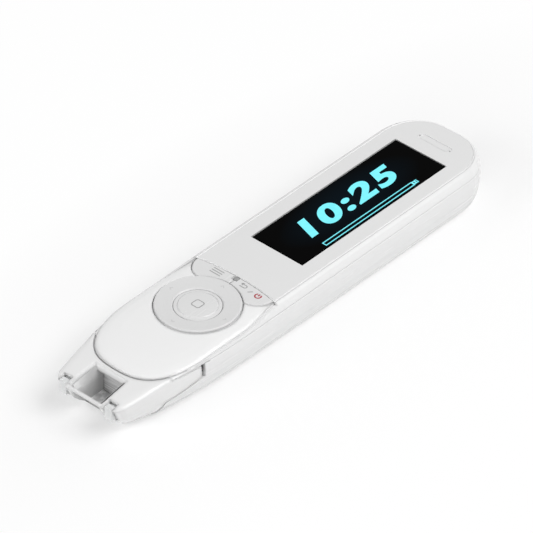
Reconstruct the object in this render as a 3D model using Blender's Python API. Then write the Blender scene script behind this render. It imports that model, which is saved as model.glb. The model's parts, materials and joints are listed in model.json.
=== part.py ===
"""Handheld scanning pen: a slim reading pen with a display, a round navigation key and an open scanning nose.

+X is the pen's right-hand side, +Y runs from the nose to the tail, +Z is up. The origin is on the bottom,
below the middle of the body. All lengths are in metres.
"""
import math

import bpy
import bmesh
from mathutils import Vector

# Fits
gap = 0.0003
overrun = 0.002

# Body outline
body_length = 0.135
body_half_width = 0.015
body_height = 0.013
tail_corner_share = 0.8
tail_inset_share = 0.5
nose_corner_share = 0.307
nose_face_share = 0.42
nose_inset_share = 0.2
taper_length = 0.0410
belly_inset_share = 0.1733
belly_grow_share = 0.6
belly_full_reach = 0.0295
belly_fade_length = 0.0480

# Casing heights and walls
seam_drop = 0.0025
rim_inset = 0.0020
wall = 0.0015
floor_thickness = 0.0013
shelf_width = 0.0012
shelf_thickness = 0.0008

# Side profile: share of the seam height, share of the belly inset
side_level_shares = (
    (0.0, 1.0), (0.03, 0.8), (0.12, 0.5), (0.3, 0.2), (0.55, 0.03), (0.78, 0.0), (1.0, 0.04),
)
# Rim profile: share of the height from the seam to the display plane, share of the rim inset
rim_level_shares = ((0.0, 0.05), (0.4, 0.24), (0.72, 0.5), (0.9, 0.76), (1.0, 1.0))

# Display panel and screen
panel_front_reach = 0.0546
panel_front_sagitta = 0.0011
panel_thickness = 0.0013
panel_edge_bevel = 0.0002
screen_side_margin = 0.0065
screen_front_margin = 0.0135
screen_rear_margin = 0.0131
screen_glass_thickness = 0.0009
ribbon_width = 0.0080
ribbon_thickness = 0.0002
ribbon_reach = 0.0012
ribbon_rise = 0.0005
display_module_border = 0.0018
display_frame_wall = 0.0012

# Speaker slot in the panel
slot_length = 0.0106
slot_width = 0.0022
slot_setback = 0.0078
slot_bar_length = 0.0088
slot_bar_width = 0.0017
slot_bar_height = 0.0007
speaker_mesh_margin = 0.0009
speaker_mesh_thickness = 0.0003
speaker_side_clearance = 0.0011
speaker_width = 0.0064
speaker_cone_share = 0.62

# Microphone hole in the rim
mic_hole_radius = 0.0004
mic_hole_inset = 0.00235
mic_hole_setback = 0.0081
mic_inset = 0.0031
mic_setback = 0.0115
mic_radius = 0.0010

# Navigation key
nav_side_margin = 0.0043
nav_bore_share = 0.57
nav_rise = 0.0005
nav_dish = 0.0004
dish_middle_share = 0.6
nav_edge_radius = 0.0003
nav_nub_radius = 0.0008
nav_nub_margin = 0.0020
nav_flange_width = 0.0006
select_margin = 0.0010
select_crown = 0.0002
select_thickness = 0.0012
select_stem_radius = 0.0020

# Menu key and return key
key_band = 0.0039
key_top_rise = 0.0001
key_thickness = 0.0010
key_end_margin = 0.0024
key_end_radius = 0.0055
key_stem_width = 0.0020
key_stem_setback = 0.0024
key_edge_bevel = 0.00025
status_light_width = 0.0013

# Front cover
cover_side_margin = 0.0008
cover_rear_side_margin = 0.0019
cover_swell_length = 0.0130
cover_centre_reach = 0.0315
cover_front_reach = 0.0110
cover_roundness = 2.7
cover_thickness = 0.0010
cover_rear_edge_drop = 0.0003
cover_side_edge_drop = 0.0014
cover_front_edge_drop = 0.0023
cover_crest_rise = 0.0001
cover_front_drop = 0.0017
cover_rim_power = 6
cover_ring_shares = (0.2, 0.45, 0.68, 0.85, 0.93, 0.97, 0.99, 1.0)
cover_under_rings = 4
cover_lip_share = 0.91

# Nose housing and its side arms
visor_back_reach = 0.0101
visor_back_drop = 0.0023
visor_front_drop = 0.0036
visor_rear_slope_share = 0.06
visor_edge_inset = 0.0019
visor_fade_length = 0.0090
nose_zone_length = 0.0175
nose_undercut = 0.0060
bar_thickness = 0.0008
parting_foot_reach = 0.0125
parting_knee_reach = 0.0150
parting_knee_share = 0.448
arm_end_reach = 0.0260
arm_low_share = 0.657
arm_high_share = 0.962
arm_thickness = 0.0015
latch_gap = 0.0012
nose_top_reach = 0.0170

# Side profile of the nose front: share of the brow height, share of the undercut
nose_front_shares = (
    (0.0, 1.0), (0.2, 0.84), (0.36, 0.57), (0.57, 0.3), (0.8, 0.16), (0.95, 0.12), (1.0, 0.04),
)

# Rounding of the visor's upper edge: share of the top height, share of the edge inset
visor_round_shares = ((0.93, 0.0), (0.962, 0.16), (0.986, 0.48), (1.0, 1.0))

# Scanning window and chamber: widths are shares of the body's half width
window_back_share = 0.353
window_front_share = 0.373
window_foot_back_share = 0.293
window_foot_front_share = 0.327
window_draft = 0.0009
window_depth = 0.0016
bar_width = 0.0007
chamber_width_share = 0.3133
chamber_floor = 0.0012
bulkhead_reach = 0.0123
bulkhead_thickness = 0.0010

# Tip guide: two clear studs with raised heads, on a frame that slides back into the nose
stud_place_share = 0.42
stud_width_share = 0.15
stud_top_share = 0.988
stud_height = 0.0031
stud_reach = 0.0008
stud_head_length = 0.0016
stud_head_rise = 0.0005
tip_travel = 0.0005
guide_length = 0.0151
guide_leg_thickness = 0.0012
guide_bar_low = 0.0016
guide_bar_height = 0.0010

# Optics: the lens height is a share of the brow height
lens_height_share = 0.66
lens_radius = 0.0021
lens_length = 0.0044
lens_bore_share = 0.6
lens_flange_radius = 0.0026
lens_flange_thickness = 0.0009
shroud_clearance = 0.0004
shroud_wall = 0.0006
shroud_length = 0.0047
pane_thickness = 0.0007
led_place_share = 0.24
led_width_share = 0.1
led_rise = 0.0012
led_depth = 0.0012
led_height = 0.0012
sensor_width = 0.0060
sensor_height = 0.0050
sensor_thickness = 0.0008
sensor_board_height = 0.0070
board_thickness = 0.0010

# Boards, battery and socket
main_board_share = 0.508
main_board_side_margin = 0.0038
main_board_front_reach = 0.0245
main_board_rear_setback = 0.0043
main_board_chamfer = 0.0034
board_rest_x = 0.0060
board_rest_reach = 0.0290
board_rest_radius = 0.0012
battery_side_margin = 0.0050
battery_front_margin = 0.0169
battery_rear_setback = 0.0195
battery_headroom = 0.0008
battery_edge = 0.0008
shield_length = 0.0180
shield_side_margin = 0.0010
shield_front_margin = 0.0179
socket_rear_margin = 0.0008
socket_width = 0.0090
socket_height = 0.0032
socket_length = 0.0073
socket_wall = 0.0003
socket_tongue_height = 0.0007
tip_switch_width = 0.0030
tip_switch_length = 0.0026
tip_switch_height = 0.0018

# Layers between the main board and the panel's underside, as shares of the room there
dome_height_share = 0.098
mat_low_share = 0.244
mat_share = 0.146
mat_nub_share = 0.122
stem_foot_share = 0.646
fulcrum_low_share = 0.537
fulcrum_share = 0.268
flange_low_share = 0.780
flange_share = 0.100
display_module_share = 0.39
speaker_share = 0.537
microphone_share = 0.293
dome_radius = 0.0022
dome_film_thickness = 0.0001
dome_film_inset = 0.0003
mat_margin = 0.0007
mat_half_width_share = 0.533
mat_rear_margin = 0.0019
mat_nub_radius = 0.0012

# Screws that hold the casing together
screw_side_margin = 0.0049
screw_front_margin = 0.0069
screw_rear_setback = 0.0075
screw_radius = 0.0008
screw_head_radius = 0.0013
screw_head_height = 0.0008
screw_recess_depth = 0.0012
screw_tip_cover = 0.0010
boss_radius = 0.0020
rib_thickness = 0.0008
rib_height_share = 0.7

# How finely curves are divided
corner_steps = 7
taper_steps = 9
ring_steps = 64
small_steps = 20
arc_steps = 10
dome_steps = 3

# Places along the pen
nose_y = -body_length / 2
tail_y = body_length / 2
belly_full_y = nose_y + belly_full_reach
panel_front_y = nose_y + panel_front_reach
screen_front_y = panel_front_y + screen_front_margin
screen_rear_y = tail_y - screen_rear_margin
slot_y = tail_y - slot_setback
cover_centre_y = nose_y + cover_centre_reach
cover_front_y = nose_y + cover_front_reach
visor_back_y = nose_y + visor_back_reach
parting_foot_y = nose_y + parting_foot_reach
parting_knee_y = nose_y + parting_knee_reach
arm_end_y = nose_y + arm_end_reach
nose_top_rear_y = nose_y + nose_top_reach
bulkhead_y = nose_y + bulkhead_reach
stud_front_y = nose_y + stud_reach
stud_head_rear_y = stud_front_y + stud_head_length
guide_rear_y = stud_front_y + guide_length
main_board_front_y = nose_y + main_board_front_reach
main_board_rear_y = tail_y - main_board_rear_setback
battery_front_y = panel_front_y + battery_front_margin
battery_rear_y = tail_y - battery_rear_setback
shield_front_y = panel_front_y + shield_front_margin
mat_rear_y = panel_front_y + mat_rear_margin

# Places across the pen
belly_inset = belly_inset_share * body_half_width
nose_corner_radius = nose_corner_share * body_half_width
nose_face_half_width = nose_face_share * body_half_width
tail_corner_radius = tail_corner_share * body_half_width
screen_half_width = body_half_width - screen_side_margin
cover_half_width = body_half_width - cover_side_margin
cover_rear_half_width = body_half_width - cover_rear_side_margin
shield_half_width = screen_half_width - shield_side_margin
nav_radius = body_half_width - nav_side_margin
nav_bore_radius = nav_bore_share * nav_radius
nav_nub_circle = nav_radius - nav_nub_margin
nav_y = panel_front_y - nav_radius - key_band
select_radius = nav_bore_radius - select_margin
key_end_x = body_half_width - key_end_margin
chamber_half_width = chamber_width_share * body_half_width
stud_x = stud_place_share * body_half_width
stud_width = stud_width_share * body_half_width
stud_middle = stud_x + stud_width / 2
led_x = led_place_share * body_half_width
led_width = led_width_share * body_half_width
sensor_board_half_width = stud_middle - tip_switch_width / 2 - gap
main_board_half_width = body_half_width - main_board_side_margin
battery_half_width = body_half_width - battery_side_margin
mat_radius = nav_radius - mat_margin
mat_half_width = mat_half_width_share * body_half_width
screw_x = body_half_width - screw_side_margin
speaker_half_length = screw_x - boss_radius - speaker_side_clearance

# Heights
seam_height = body_height - seam_drop
panel_underside = body_height - panel_thickness
cover_rear_edge_height = body_height - cover_rear_edge_drop
cover_side_edge_height = body_height - cover_side_edge_drop
cover_front_edge_height = body_height - cover_front_edge_drop
cover_crest_height = body_height + cover_crest_rise
cover_front_height = body_height - cover_front_drop
visor_back_height = body_height - visor_back_drop
visor_front_height = body_height - visor_front_drop
brow_height = visor_front_height - bar_thickness
parting_knee_height = parting_knee_share * seam_height
arm_end_low = arm_low_share * seam_height
arm_end_high = arm_high_share * seam_height
stud_top = stud_top_share * brow_height
deck_underside = visor_back_height - window_depth
lens_height = lens_height_share * brow_height
light_low = lens_height + led_rise
main_board_height = main_board_share * body_height
board_top = main_board_height + board_thickness
key_room = panel_underside - board_top
mat_low = board_top + mat_low_share * key_room
mat_top = mat_low + mat_share * key_room
stem_foot = board_top + stem_foot_share * key_room
flange_low = board_top + flange_low_share * key_room
flange_top = flange_low + flange_share * key_room
module_top = panel_underside - gap
module_low = module_top - display_module_share * key_room
screw_tip = panel_underside - gap - screw_tip_cover
origin = Vector((0.0, 0.0, 0.0))


def plastic(name, colour, roughness, metallic=0.0, alpha=1.0):
    """A Principled material in the piece's own colour."""
    material = bpy.data.materials.new(name)
    material.use_nodes = True
    shader = material.node_tree.nodes["Principled BSDF"]
    shader.inputs["Base Color"].default_value = (*colour, 1.0)
    shader.inputs["Roughness"].default_value = roughness
    shader.inputs["Metallic"].default_value = metallic
    shader.inputs["Alpha"].default_value = alpha
    material.diffuse_color = (*colour, alpha)
    return material


def add_object(name, vertices, faces, material=None, pivot=origin, smooth_angle=math.radians(35)):
    """One named object whose origin is its pivot; vertices are given in the pen's frame."""
    mesh = bpy.data.meshes.new(name)
    mesh.from_pydata([Vector(v) - pivot for v in vertices], [], faces)
    work = bmesh.new()
    work.from_mesh(mesh)
    bmesh.ops.recalc_face_normals(work, faces=work.faces)
    work.to_mesh(mesh)
    work.free()
    mesh.shade_smooth()
    mesh.set_sharp_from_angle(angle=smooth_angle)
    if material:
        mesh.materials.append(material)
    piece = bpy.data.objects.new(name, mesh)
    piece.location = pivot
    bpy.context.collection.objects.link(piece)
    return piece


def loft(rings, closed=False):
    """Vertices and faces through rings of equal count, capped at both ends or closed on themselves."""
    count = len(rings[0])
    vertices = [point for ring in rings for point in ring]
    faces = []
    pairs = len(rings) if closed else len(rings) - 1
    for level in range(pairs):
        low = level * count
        high = ((level + 1) % len(rings)) * count
        for i in range(count):
            j = (i + 1) % count
            faces.append((low + i, low + j, high + j, high + i))
    if not closed:
        faces.append(tuple(range(count)))
        faces.append(tuple(len(vertices) - count + i for i in range(count)))
    return vertices, faces


def domed_loft(rings):
    """A loft whose first and last ring are closed by fans, for rings that don't lie in a plane."""
    vertices, faces = loft(rings)
    faces = faces[:-2]
    count = len(rings[0])
    for start in (0, len(vertices) - count):
        ring = vertices[start:start + count]
        centre = tuple(sum(point[axis] for point in ring) / count for axis in range(3))
        vertices.append(centre)
        hub = len(vertices) - 1
        faces += [(start + i, start + (i + 1) % count, hub) for i in range(count)]
    return vertices, faces


def bridged_loft(rings):
    """A loft of rings that mirror in X, whose ends are closed by strips straight across."""
    vertices, faces = loft(rings)
    faces = faces[:-2]
    count = len(rings[0])
    half = count // 2
    for start in (0, len(vertices) - count):
        faces.append((start, start + 1, start + 2, start + count - 2, start + count - 1))
        faces += [(start + i, start + i + 1, start + count - i - 1, start + count - i)
                  for i in range(2, half - 2)]
        faces.append(tuple(start + half + i for i in range(-2, 3)))
    return vertices, faces


def prism(outline, low, high, axis="Z"):
    """An outline drawn in two axes and run along the third."""
    places = {"Z": lambda a, b, c: (a, b, c), "X": lambda a, b, c: (c, a, b), "Y": lambda a, b, c: (a, c, b)}
    place = places[axis]
    return loft([[place(a, b, low) for a, b in outline], [place(a, b, high) for a, b in outline]])


def box(x, y, z):
    """Vertices and faces of a box from pairs of limits."""
    return prism([(x[0], y[0]), (x[1], y[0]), (x[1], y[1]), (x[0], y[1])], *z)


def joined(*solids):
    """Several solids as one list of vertices and faces."""
    vertices, faces = [], []
    for solid_vertices, solid_faces in solids:
        start = len(vertices)
        vertices += solid_vertices
        faces += [tuple(start + i for i in face) for face in solid_faces]
    return vertices, faces


def circle(centre, radius, steps=ring_steps):
    """Points of a circle in a plane."""
    turns = [2 * math.pi * i / steps for i in range(steps)]
    return [(centre[0] + radius * math.cos(t), centre[1] + radius * math.sin(t)) for t in turns]


def turned(profile, centre, steps=ring_steps):
    """A ring turned from a closed profile of radius and height."""
    rings = [[(x, y, height) for x, y in circle(centre, radius, steps)] for radius, height in profile]
    return loft(rings, closed=True)


def turned_solid(profile, centre, steps=ring_steps):
    """A solid turned from a profile that starts and ends on the axis."""
    rings = [[(x, y, height) for x, y in circle(centre, radius, steps)] for radius, height in profile[1:-1]]
    vertices, faces = loft(rings)
    faces = faces[:-2]
    for start, height in ((0, profile[0][1]), (len(vertices) - steps, profile[-1][1])):
        vertices.append((centre[0], centre[1], height))
        hub = len(vertices) - 1
        faces += [(start + i, start + (i + 1) % steps, hub) for i in range(steps)]
    return vertices, faces


def disc(centre, radius, low, high, steps=ring_steps, axis="Z"):
    """A plain round solid."""
    return prism(circle(centre, radius, steps), low, high, axis)


def stadium(centre, length, width, steps=small_steps):
    """A slot outline that is long in X, with round ends."""
    radius = width / 2
    reach = length / 2 - radius
    points = []
    for i in range(steps):
        turn = 2 * math.pi * (i + 0.5) / steps - math.pi / 2
        side = reach if math.cos(turn) > 0 else -reach
        points.append((centre[0] + side + radius * math.cos(turn), centre[1] + radius * math.sin(turn)))
    return points


def hidden_tool(tool):
    """Mark a shape as a tool that only cuts others."""
    tool.hide_render = True
    tool.display_type = "WIRE"
    return tool


def cut_by(piece, tool, operation="DIFFERENCE"):
    """Cut, keep or add the shape of another object."""
    change = piece.modifiers.new(tool.name, "BOOLEAN")
    change.operation = operation
    change.object = tool


def cut(piece, vertices, faces, name, operation="DIFFERENCE"):
    """Cut, keep or add a shape, held as a hidden wire object."""
    cut_by(piece, hidden_tool(add_object(name, vertices, faces)), operation)


def rounded(piece, width, segments=2):
    """Soften the sharp edges of a piece."""
    bevel = piece.modifiers.new("edge_softening", "BEVEL")
    bevel.width = width
    bevel.segments = segments
    bevel.limit_method = "ANGLE"
    bevel.angle_limit = math.radians(40)
    return piece


def blend(start, end, share):
    """Smooth step from one value to another."""
    share = min(max(share, 0.0), 1.0)
    return start + (end - start) * share * share * (3 - 2 * share)


def read_table(table, share):
    """Value at a share in a table of rising shares."""
    for (low, low_value), (high, high_value) in zip(table, table[1:]):
        if share <= high:
            return low_value + (high_value - low_value) * max(share - low, 0.0) / (high - low)
    return table[-1][1]


def outline_half():
    """Right half of the body in plan, nose centre to tail centre: x, y and the outward normal."""
    points = [(0.0, nose_y, 0.0, -1.0)]
    corner_y = nose_y + nose_corner_radius
    taper_foot = nose_face_half_width + nose_corner_radius
    for i in range(corner_steps):
        turn = math.radians(-90 + 84 * i / (corner_steps - 1))
        side, ahead = math.cos(turn), math.sin(turn)
        points.append((nose_face_half_width + nose_corner_radius * side,
                       corner_y + nose_corner_radius * ahead, side, ahead))
    taper_end = nose_y + taper_length
    taper_run = taper_end - corner_y
    taper_depth = body_half_width - taper_foot
    for i in range(1, taper_steps + 1):
        share = 1 - i / taper_steps
        slope = 2 * taper_depth * share / taper_run
        size = math.hypot(1.0, slope)
        points.append((body_half_width - taper_depth * share * share, taper_end - taper_run * share,
                       1 / size, -slope / size))
    tail_corner_y = tail_y - tail_corner_radius
    points.append((body_half_width, 0.0, 1.0, 0.0))
    for i in range(corner_steps + 1):
        turn = math.radians(90 * i / corner_steps)
        side, ahead = math.cos(turn), math.sin(turn)
        points.append((body_half_width - tail_corner_radius + tail_corner_radius * side,
                       tail_corner_y + tail_corner_radius * ahead, side, ahead))
    points.append((0.0, tail_y, 0.0, 1.0))
    return points


def body_ring(height_at, inset_at, setback_at=None):
    """One closed ring round the body; height, inset and nose setback may change along it."""
    right = []
    for x, y, side, ahead in outline_half():
        height = height_at(y)
        inset = inset_at(height, y)
        along = tail_inset_share if y > 0 else nose_inset_share
        new_y = y - inset * ahead * along
        if setback_at:
            reach = min(max(1 - (y - nose_y) / nose_zone_length, 0.0), 1.0)
            new_y += setback_at(height) * reach
        right.append((max(x - inset * side, 0.0), new_y, height))
    left = [(-x, y, z) for x, y, z in reversed(right[1:-1])]
    return right + left


def side_inset(height, y):
    """How far the casing's side lies inside the widest outline."""
    share = read_table(side_level_shares, height / seam_height)
    grown = 1 + belly_grow_share * min(max(1 - (y - belly_full_y) / belly_fade_length, 0.0), 1.0)
    return belly_inset * share * grown


def level(height):
    """A height that is the same all round."""
    return lambda y: height


def casing_heights():
    """Heights of the casing's rings from the bottom to the seam."""
    return [share * (seam_height - gap / 2) for share, _ in side_level_shares]


def nose_top(y):
    """Height of the nose's upper surface along the pen."""
    fall = (visor_back_height - visor_front_height) / (visor_back_y - nose_y - bar_width)
    if y < visor_back_y:
        return visor_back_height - (visor_back_y - y) * fall
    return visor_back_height + (y - visor_back_y) * visor_rear_slope_share


def nose_setback(height):
    """How far the nose's front lies behind the front bar."""
    if height >= brow_height:
        return 0.0
    return nose_undercut * read_table(nose_front_shares, height / brow_height)


def parting_profile(clear, end_clear):
    """Side view of the space that the nose housing and its arms fill, grown by a clearance."""
    top = seam_height - gap / 2 + clear
    return [
        (nose_y - overrun, -overrun), (parting_foot_y + clear, -overrun),
        (parting_knee_y + clear, parting_knee_height - clear), (arm_end_y + end_clear, arm_end_low - clear),
        (arm_end_y + end_clear, arm_end_high + clear), (nose_top_rear_y + clear, top),
        (nose_top_rear_y + clear, body_height + overrun), (nose_y - overrun, body_height + overrun),
    ]


def cover_edge_height(y):
    """Height of the front cover's edge along the pen."""
    if y > cover_centre_y:
        share = (panel_front_y - y) / cover_swell_length
        return blend(cover_rear_edge_height, cover_side_edge_height, share)
    share = (cover_centre_y - y) / (cover_centre_y - cover_front_y)
    return blend(cover_side_edge_height, cover_front_edge_height, share)


def cover_crest(y):
    """Height of the front cover's middle line along the pen."""
    if y > nav_y:
        return blend(body_height, cover_crest_height, (panel_front_y - y) / (panel_front_y - nav_y))
    share = (nav_y - y) / (nav_y - cover_front_y)
    return cover_crest_height - (cover_crest_height - cover_front_height) * share * share


def visor_fade(y):
    """Share of the visor's edge rounding that is left along the nose."""
    return 1 - blend(0.0, 1.0, (y - visor_back_y) / visor_fade_length)


def panel_half_width():
    """Half the width of the display panel, which fills the rim but for a gap."""
    return body_half_width - rim_inset - gap


def panel_front(x):
    """The panel's arched front edge."""
    return panel_front_y - panel_front_sagitta * (x / panel_half_width()) ** 2


def cover_outline(grow=0.0):
    """The front cover in plan: an arched rear edge, swelling sides and a blunt oval front."""
    right = []
    front = cover_front_y - grow
    for i in range(2 * arc_steps + 1):
        turn = math.radians(90 * i / (2 * arc_steps))
        power = 2 / cover_roundness
        x = (cover_half_width + grow) * math.sin(turn) ** power
        y = cover_centre_y - (cover_centre_y - front) * math.cos(turn) ** power
        right.append((x, y))
    rear_y = panel_front(panel_half_width()) - gap
    for i in range(1, arc_steps + 1):
        y = cover_centre_y + (rear_y - cover_centre_y) * i / arc_steps
        x = blend(cover_half_width, cover_rear_half_width, 1 - (rear_y - y) / cover_swell_length)
        right.append((x + grow, y))
    for i in range(arc_steps - 1, 0, -1):
        x = cover_rear_half_width * i / arc_steps
        right.append((x, panel_front(x) - gap))
    right.append((0.0, panel_front(0.0) - gap))
    left = [(-x, y) for x, y in reversed(right[1:-1])]
    return right + left


def key_end(shrink):
    """The round outer end of the right key, from the panel to the navigation key's well."""
    centre_x, centre_y = key_end_x - key_end_radius, panel_front(key_end_x) - gap
    end_radius, well = key_end_radius - shrink, nav_radius + max(gap, shrink)

    def place(turn):
        return centre_x + end_radius * math.cos(turn), centre_y - end_radius * math.sin(turn)

    low, high = 0.0, math.pi / 2
    for _ in range(2 * ring_steps):
        middle = (low + high) / 2
        x, y = place(middle)
        if math.hypot(x, y - nav_y) > well:
            low = middle
        else:
            high = middle
    return [place(low * i / arc_steps) for i in range(1, arc_steps + 1)]


def key_outline(side, shrink):
    """One of the two arched keys: panel edge, round outer end, the navigation key's circle."""
    well = nav_radius + shrink
    inner_x, outer_x = shrink - gap / 2, key_end_x - shrink
    points = []
    for i in range(arc_steps + 1):
        x = inner_x + (outer_x - inner_x) * i / arc_steps
        points.append((x, panel_front(x) - shrink))
    points += key_end(shrink)
    x, y = points[-1]
    start_turn = math.atan2(y - nav_y, x)
    last_turn = math.acos(inner_x / well)
    for i in range(1, arc_steps + 1):
        turn = start_turn + (last_turn - start_turn) * i / arc_steps
        points.append((well * math.cos(turn), nav_y + well * math.sin(turn)))
    return [(side * x, y) for x, y in points]


def key_opening():
    """The opening in the front cover for the navigation key and both arched keys, open towards the panel."""
    well = nav_radius + gap
    right = [(key_end_x, panel_front(key_end_x) + overrun)] + key_end(0.0)
    x, y = right[-1]
    start_turn = math.atan2(y - nav_y, x)
    steps = ring_steps // 2
    for i in range(1, steps):
        turn = start_turn - (start_turn + math.pi / 2) * i / steps
        right.append((well * math.cos(turn), nav_y + well * math.sin(turn)))
    return right + [(0.0, nav_y - well)] + [(-x, y) for x, y in reversed(right)]


def panel_outline(shrink=0.0):
    """The display panel in plan: arched front edge, straight sides, round tail corners."""
    inset = rim_inset + gap + shrink
    half_width = body_half_width - inset
    right = []
    for i in range(arc_steps + 1):
        x = half_width * i / arc_steps
        right.append((x, panel_front(x) + shrink))
    for x, y, side, ahead in outline_half()[-corner_steps - 2:-1]:
        right.append((x - inset * side, y - inset * ahead * tail_inset_share))
    right.append((0.0, right[-1][1]))
    left = [(-x, y) for x, y in reversed(right[1:-1])]
    return right + left


def side_pair(middle, width):
    """Limits in X of a feature on the left and of its twin on the right."""
    return [sorted((side * (middle - width / 2), side * (middle + width / 2))) for side in (-1, 1)]


def screw_places():
    """Places of the casing screws in plan, by name."""
    return {
        "front_left": (-screw_x, panel_front_y + screw_front_margin),
        "front_right": (screw_x, panel_front_y + screw_front_margin),
        "rear_left": (-screw_x, tail_y - screw_rear_setback),
        "rear_right": (screw_x, tail_y - screw_rear_setback),
    }


def socket_section(grow):
    """The data socket seen from behind: a flat slot outline with round ends."""
    return stadium((0.0, socket_middle()), socket_width + 2 * grow, socket_height + 2 * grow)


def socket_middle():
    """Height of the middle of the data socket, which hangs under the main board."""
    return main_board_height - gap - socket_height / 2


def make_lower_shell(materials):
    """The bottom half of the casing: a tray with screw bosses, battery ribs and a port in its tail."""
    heights = casing_heights()
    outer = [body_ring(level(h), side_inset) for h in heights]
    inner_heights = [h for h in reversed(heights) if h > floor_thickness] + [floor_thickness]
    inner = [body_ring(level(h), lambda z, y: side_inset(z, y) + wall) for h in inner_heights]
    shell = add_object("lower_shell", *loft(outer + inner), materials["casing"])
    reach = body_half_width + overrun
    cut(shell, *prism(parting_profile(gap, latch_gap), -reach, reach, "X"), "cut_nose_space")
    root = floor_thickness / 2
    board_seat = main_board_height - gap
    additions = [disc(place, boss_radius, root, board_seat, small_steps) for place in screw_places().values()]
    for side in (-1, 1):
        place = (side * board_rest_x, nose_y + board_rest_reach)
        additions.append(disc(place, board_rest_radius, root, board_seat, small_steps))
    rib_top = floor_thickness + rib_height_share * (main_board_height - floor_thickness)
    rib_x = (-battery_half_width, battery_half_width)
    for y in (battery_front_y - gap - rib_thickness, battery_rear_y + gap):
        additions.append(box(rib_x, (y, y + rib_thickness), (root, rib_top)))
    cut(shell, *joined(*additions), "add_bosses_and_ribs", "UNION")
    head_room = screw_head_radius + gap
    bore = screw_radius + gap
    head_seat = screw_recess_depth + screw_head_height + gap
    for name, place in screw_places().items():
        profile = [(0.0, -overrun), (head_room, -overrun), (head_room, head_seat), (bore, head_seat),
                   (bore, board_seat + overrun), (0.0, board_seat + overrun)]
        cut(shell, *turned_solid(profile, place, small_steps), f"cut_screw_hole_{name}")
    cut(shell, *prism(socket_section(gap), tail_y - wall - overrun, tail_y + overrun, "Y"), "cut_data_port")


def make_upper_shell(materials):
    """The top rim of the casing: a frame round the panel, and two low rails under the front cover."""
    bottom = seam_height + gap / 2
    ledge = panel_underside - gap
    profile = [(bottom + share * (body_height - bottom), rim_inset * inset)
               for share, inset in rim_level_shares]
    profile += [(ledge, rim_inset), (ledge, rim_inset + shelf_width),
                (ledge - shelf_thickness, rim_inset + shelf_width), (bottom, wall)]
    rings = [body_ring(level(height), lambda z, y, inset=inset: inset) for height, inset in profile]
    shell = add_object("upper_shell", *loft(rings, closed=True), materials["casing"])
    reach = body_half_width + overrun
    rear = panel_front(panel_half_width()) - gap
    front = nose_top_rear_y + gap
    top = body_height + overrun
    edge = []
    for i in range(arc_steps + 1):
        y = rear + (front - rear) * i / arc_steps
        edge.append((y, cover_edge_height(y) - gap))
    side_view = [(rear, top)] + edge + [(front, 0.0), (nose_y - overrun, 0.0), (nose_y - overrun, top)]
    cut(shell, *prism(side_view, -reach, reach, "X"), "cut_cover_seat")
    posts = [disc(place, boss_radius, board_top + gap, ledge - shelf_thickness / 2, small_steps)
             for place in screw_places().values()]
    cut(shell, *joined(*posts), "add_screw_posts", "UNION")
    bores = [disc(place, screw_radius + gap, 0.0, screw_tip + gap, small_steps)
             for place in screw_places().values()]
    cut(shell, *joined(*bores), "cut_screw_bores")
    mic_hole = (mic_hole_inset - body_half_width, tail_y - mic_hole_setback)
    cut(shell, *disc(mic_hole, mic_hole_radius, 0.0, top, small_steps), "cut_microphone_hole")
    return shell


def nose_rings():
    """Rings of the nose's outer form: undercut below the front bar, rounded at the visor's edge."""
    rings = []
    for share, _ in nose_front_shares:
        height_share = share * brow_height / visor_front_height
        rings.append(body_ring(lambda y, s=height_share: s * nose_top(y), side_inset, nose_setback))
    for share, round_share in visor_round_shares:
        def inset(height, y, edge_inset=round_share * visor_edge_inset):
            return side_inset(min(height, seam_height), y) + edge_inset * visor_fade(y)

        rings.append(body_ring(lambda y, s=share: s * nose_top(y), inset, nose_setback))
    return rings


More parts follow.
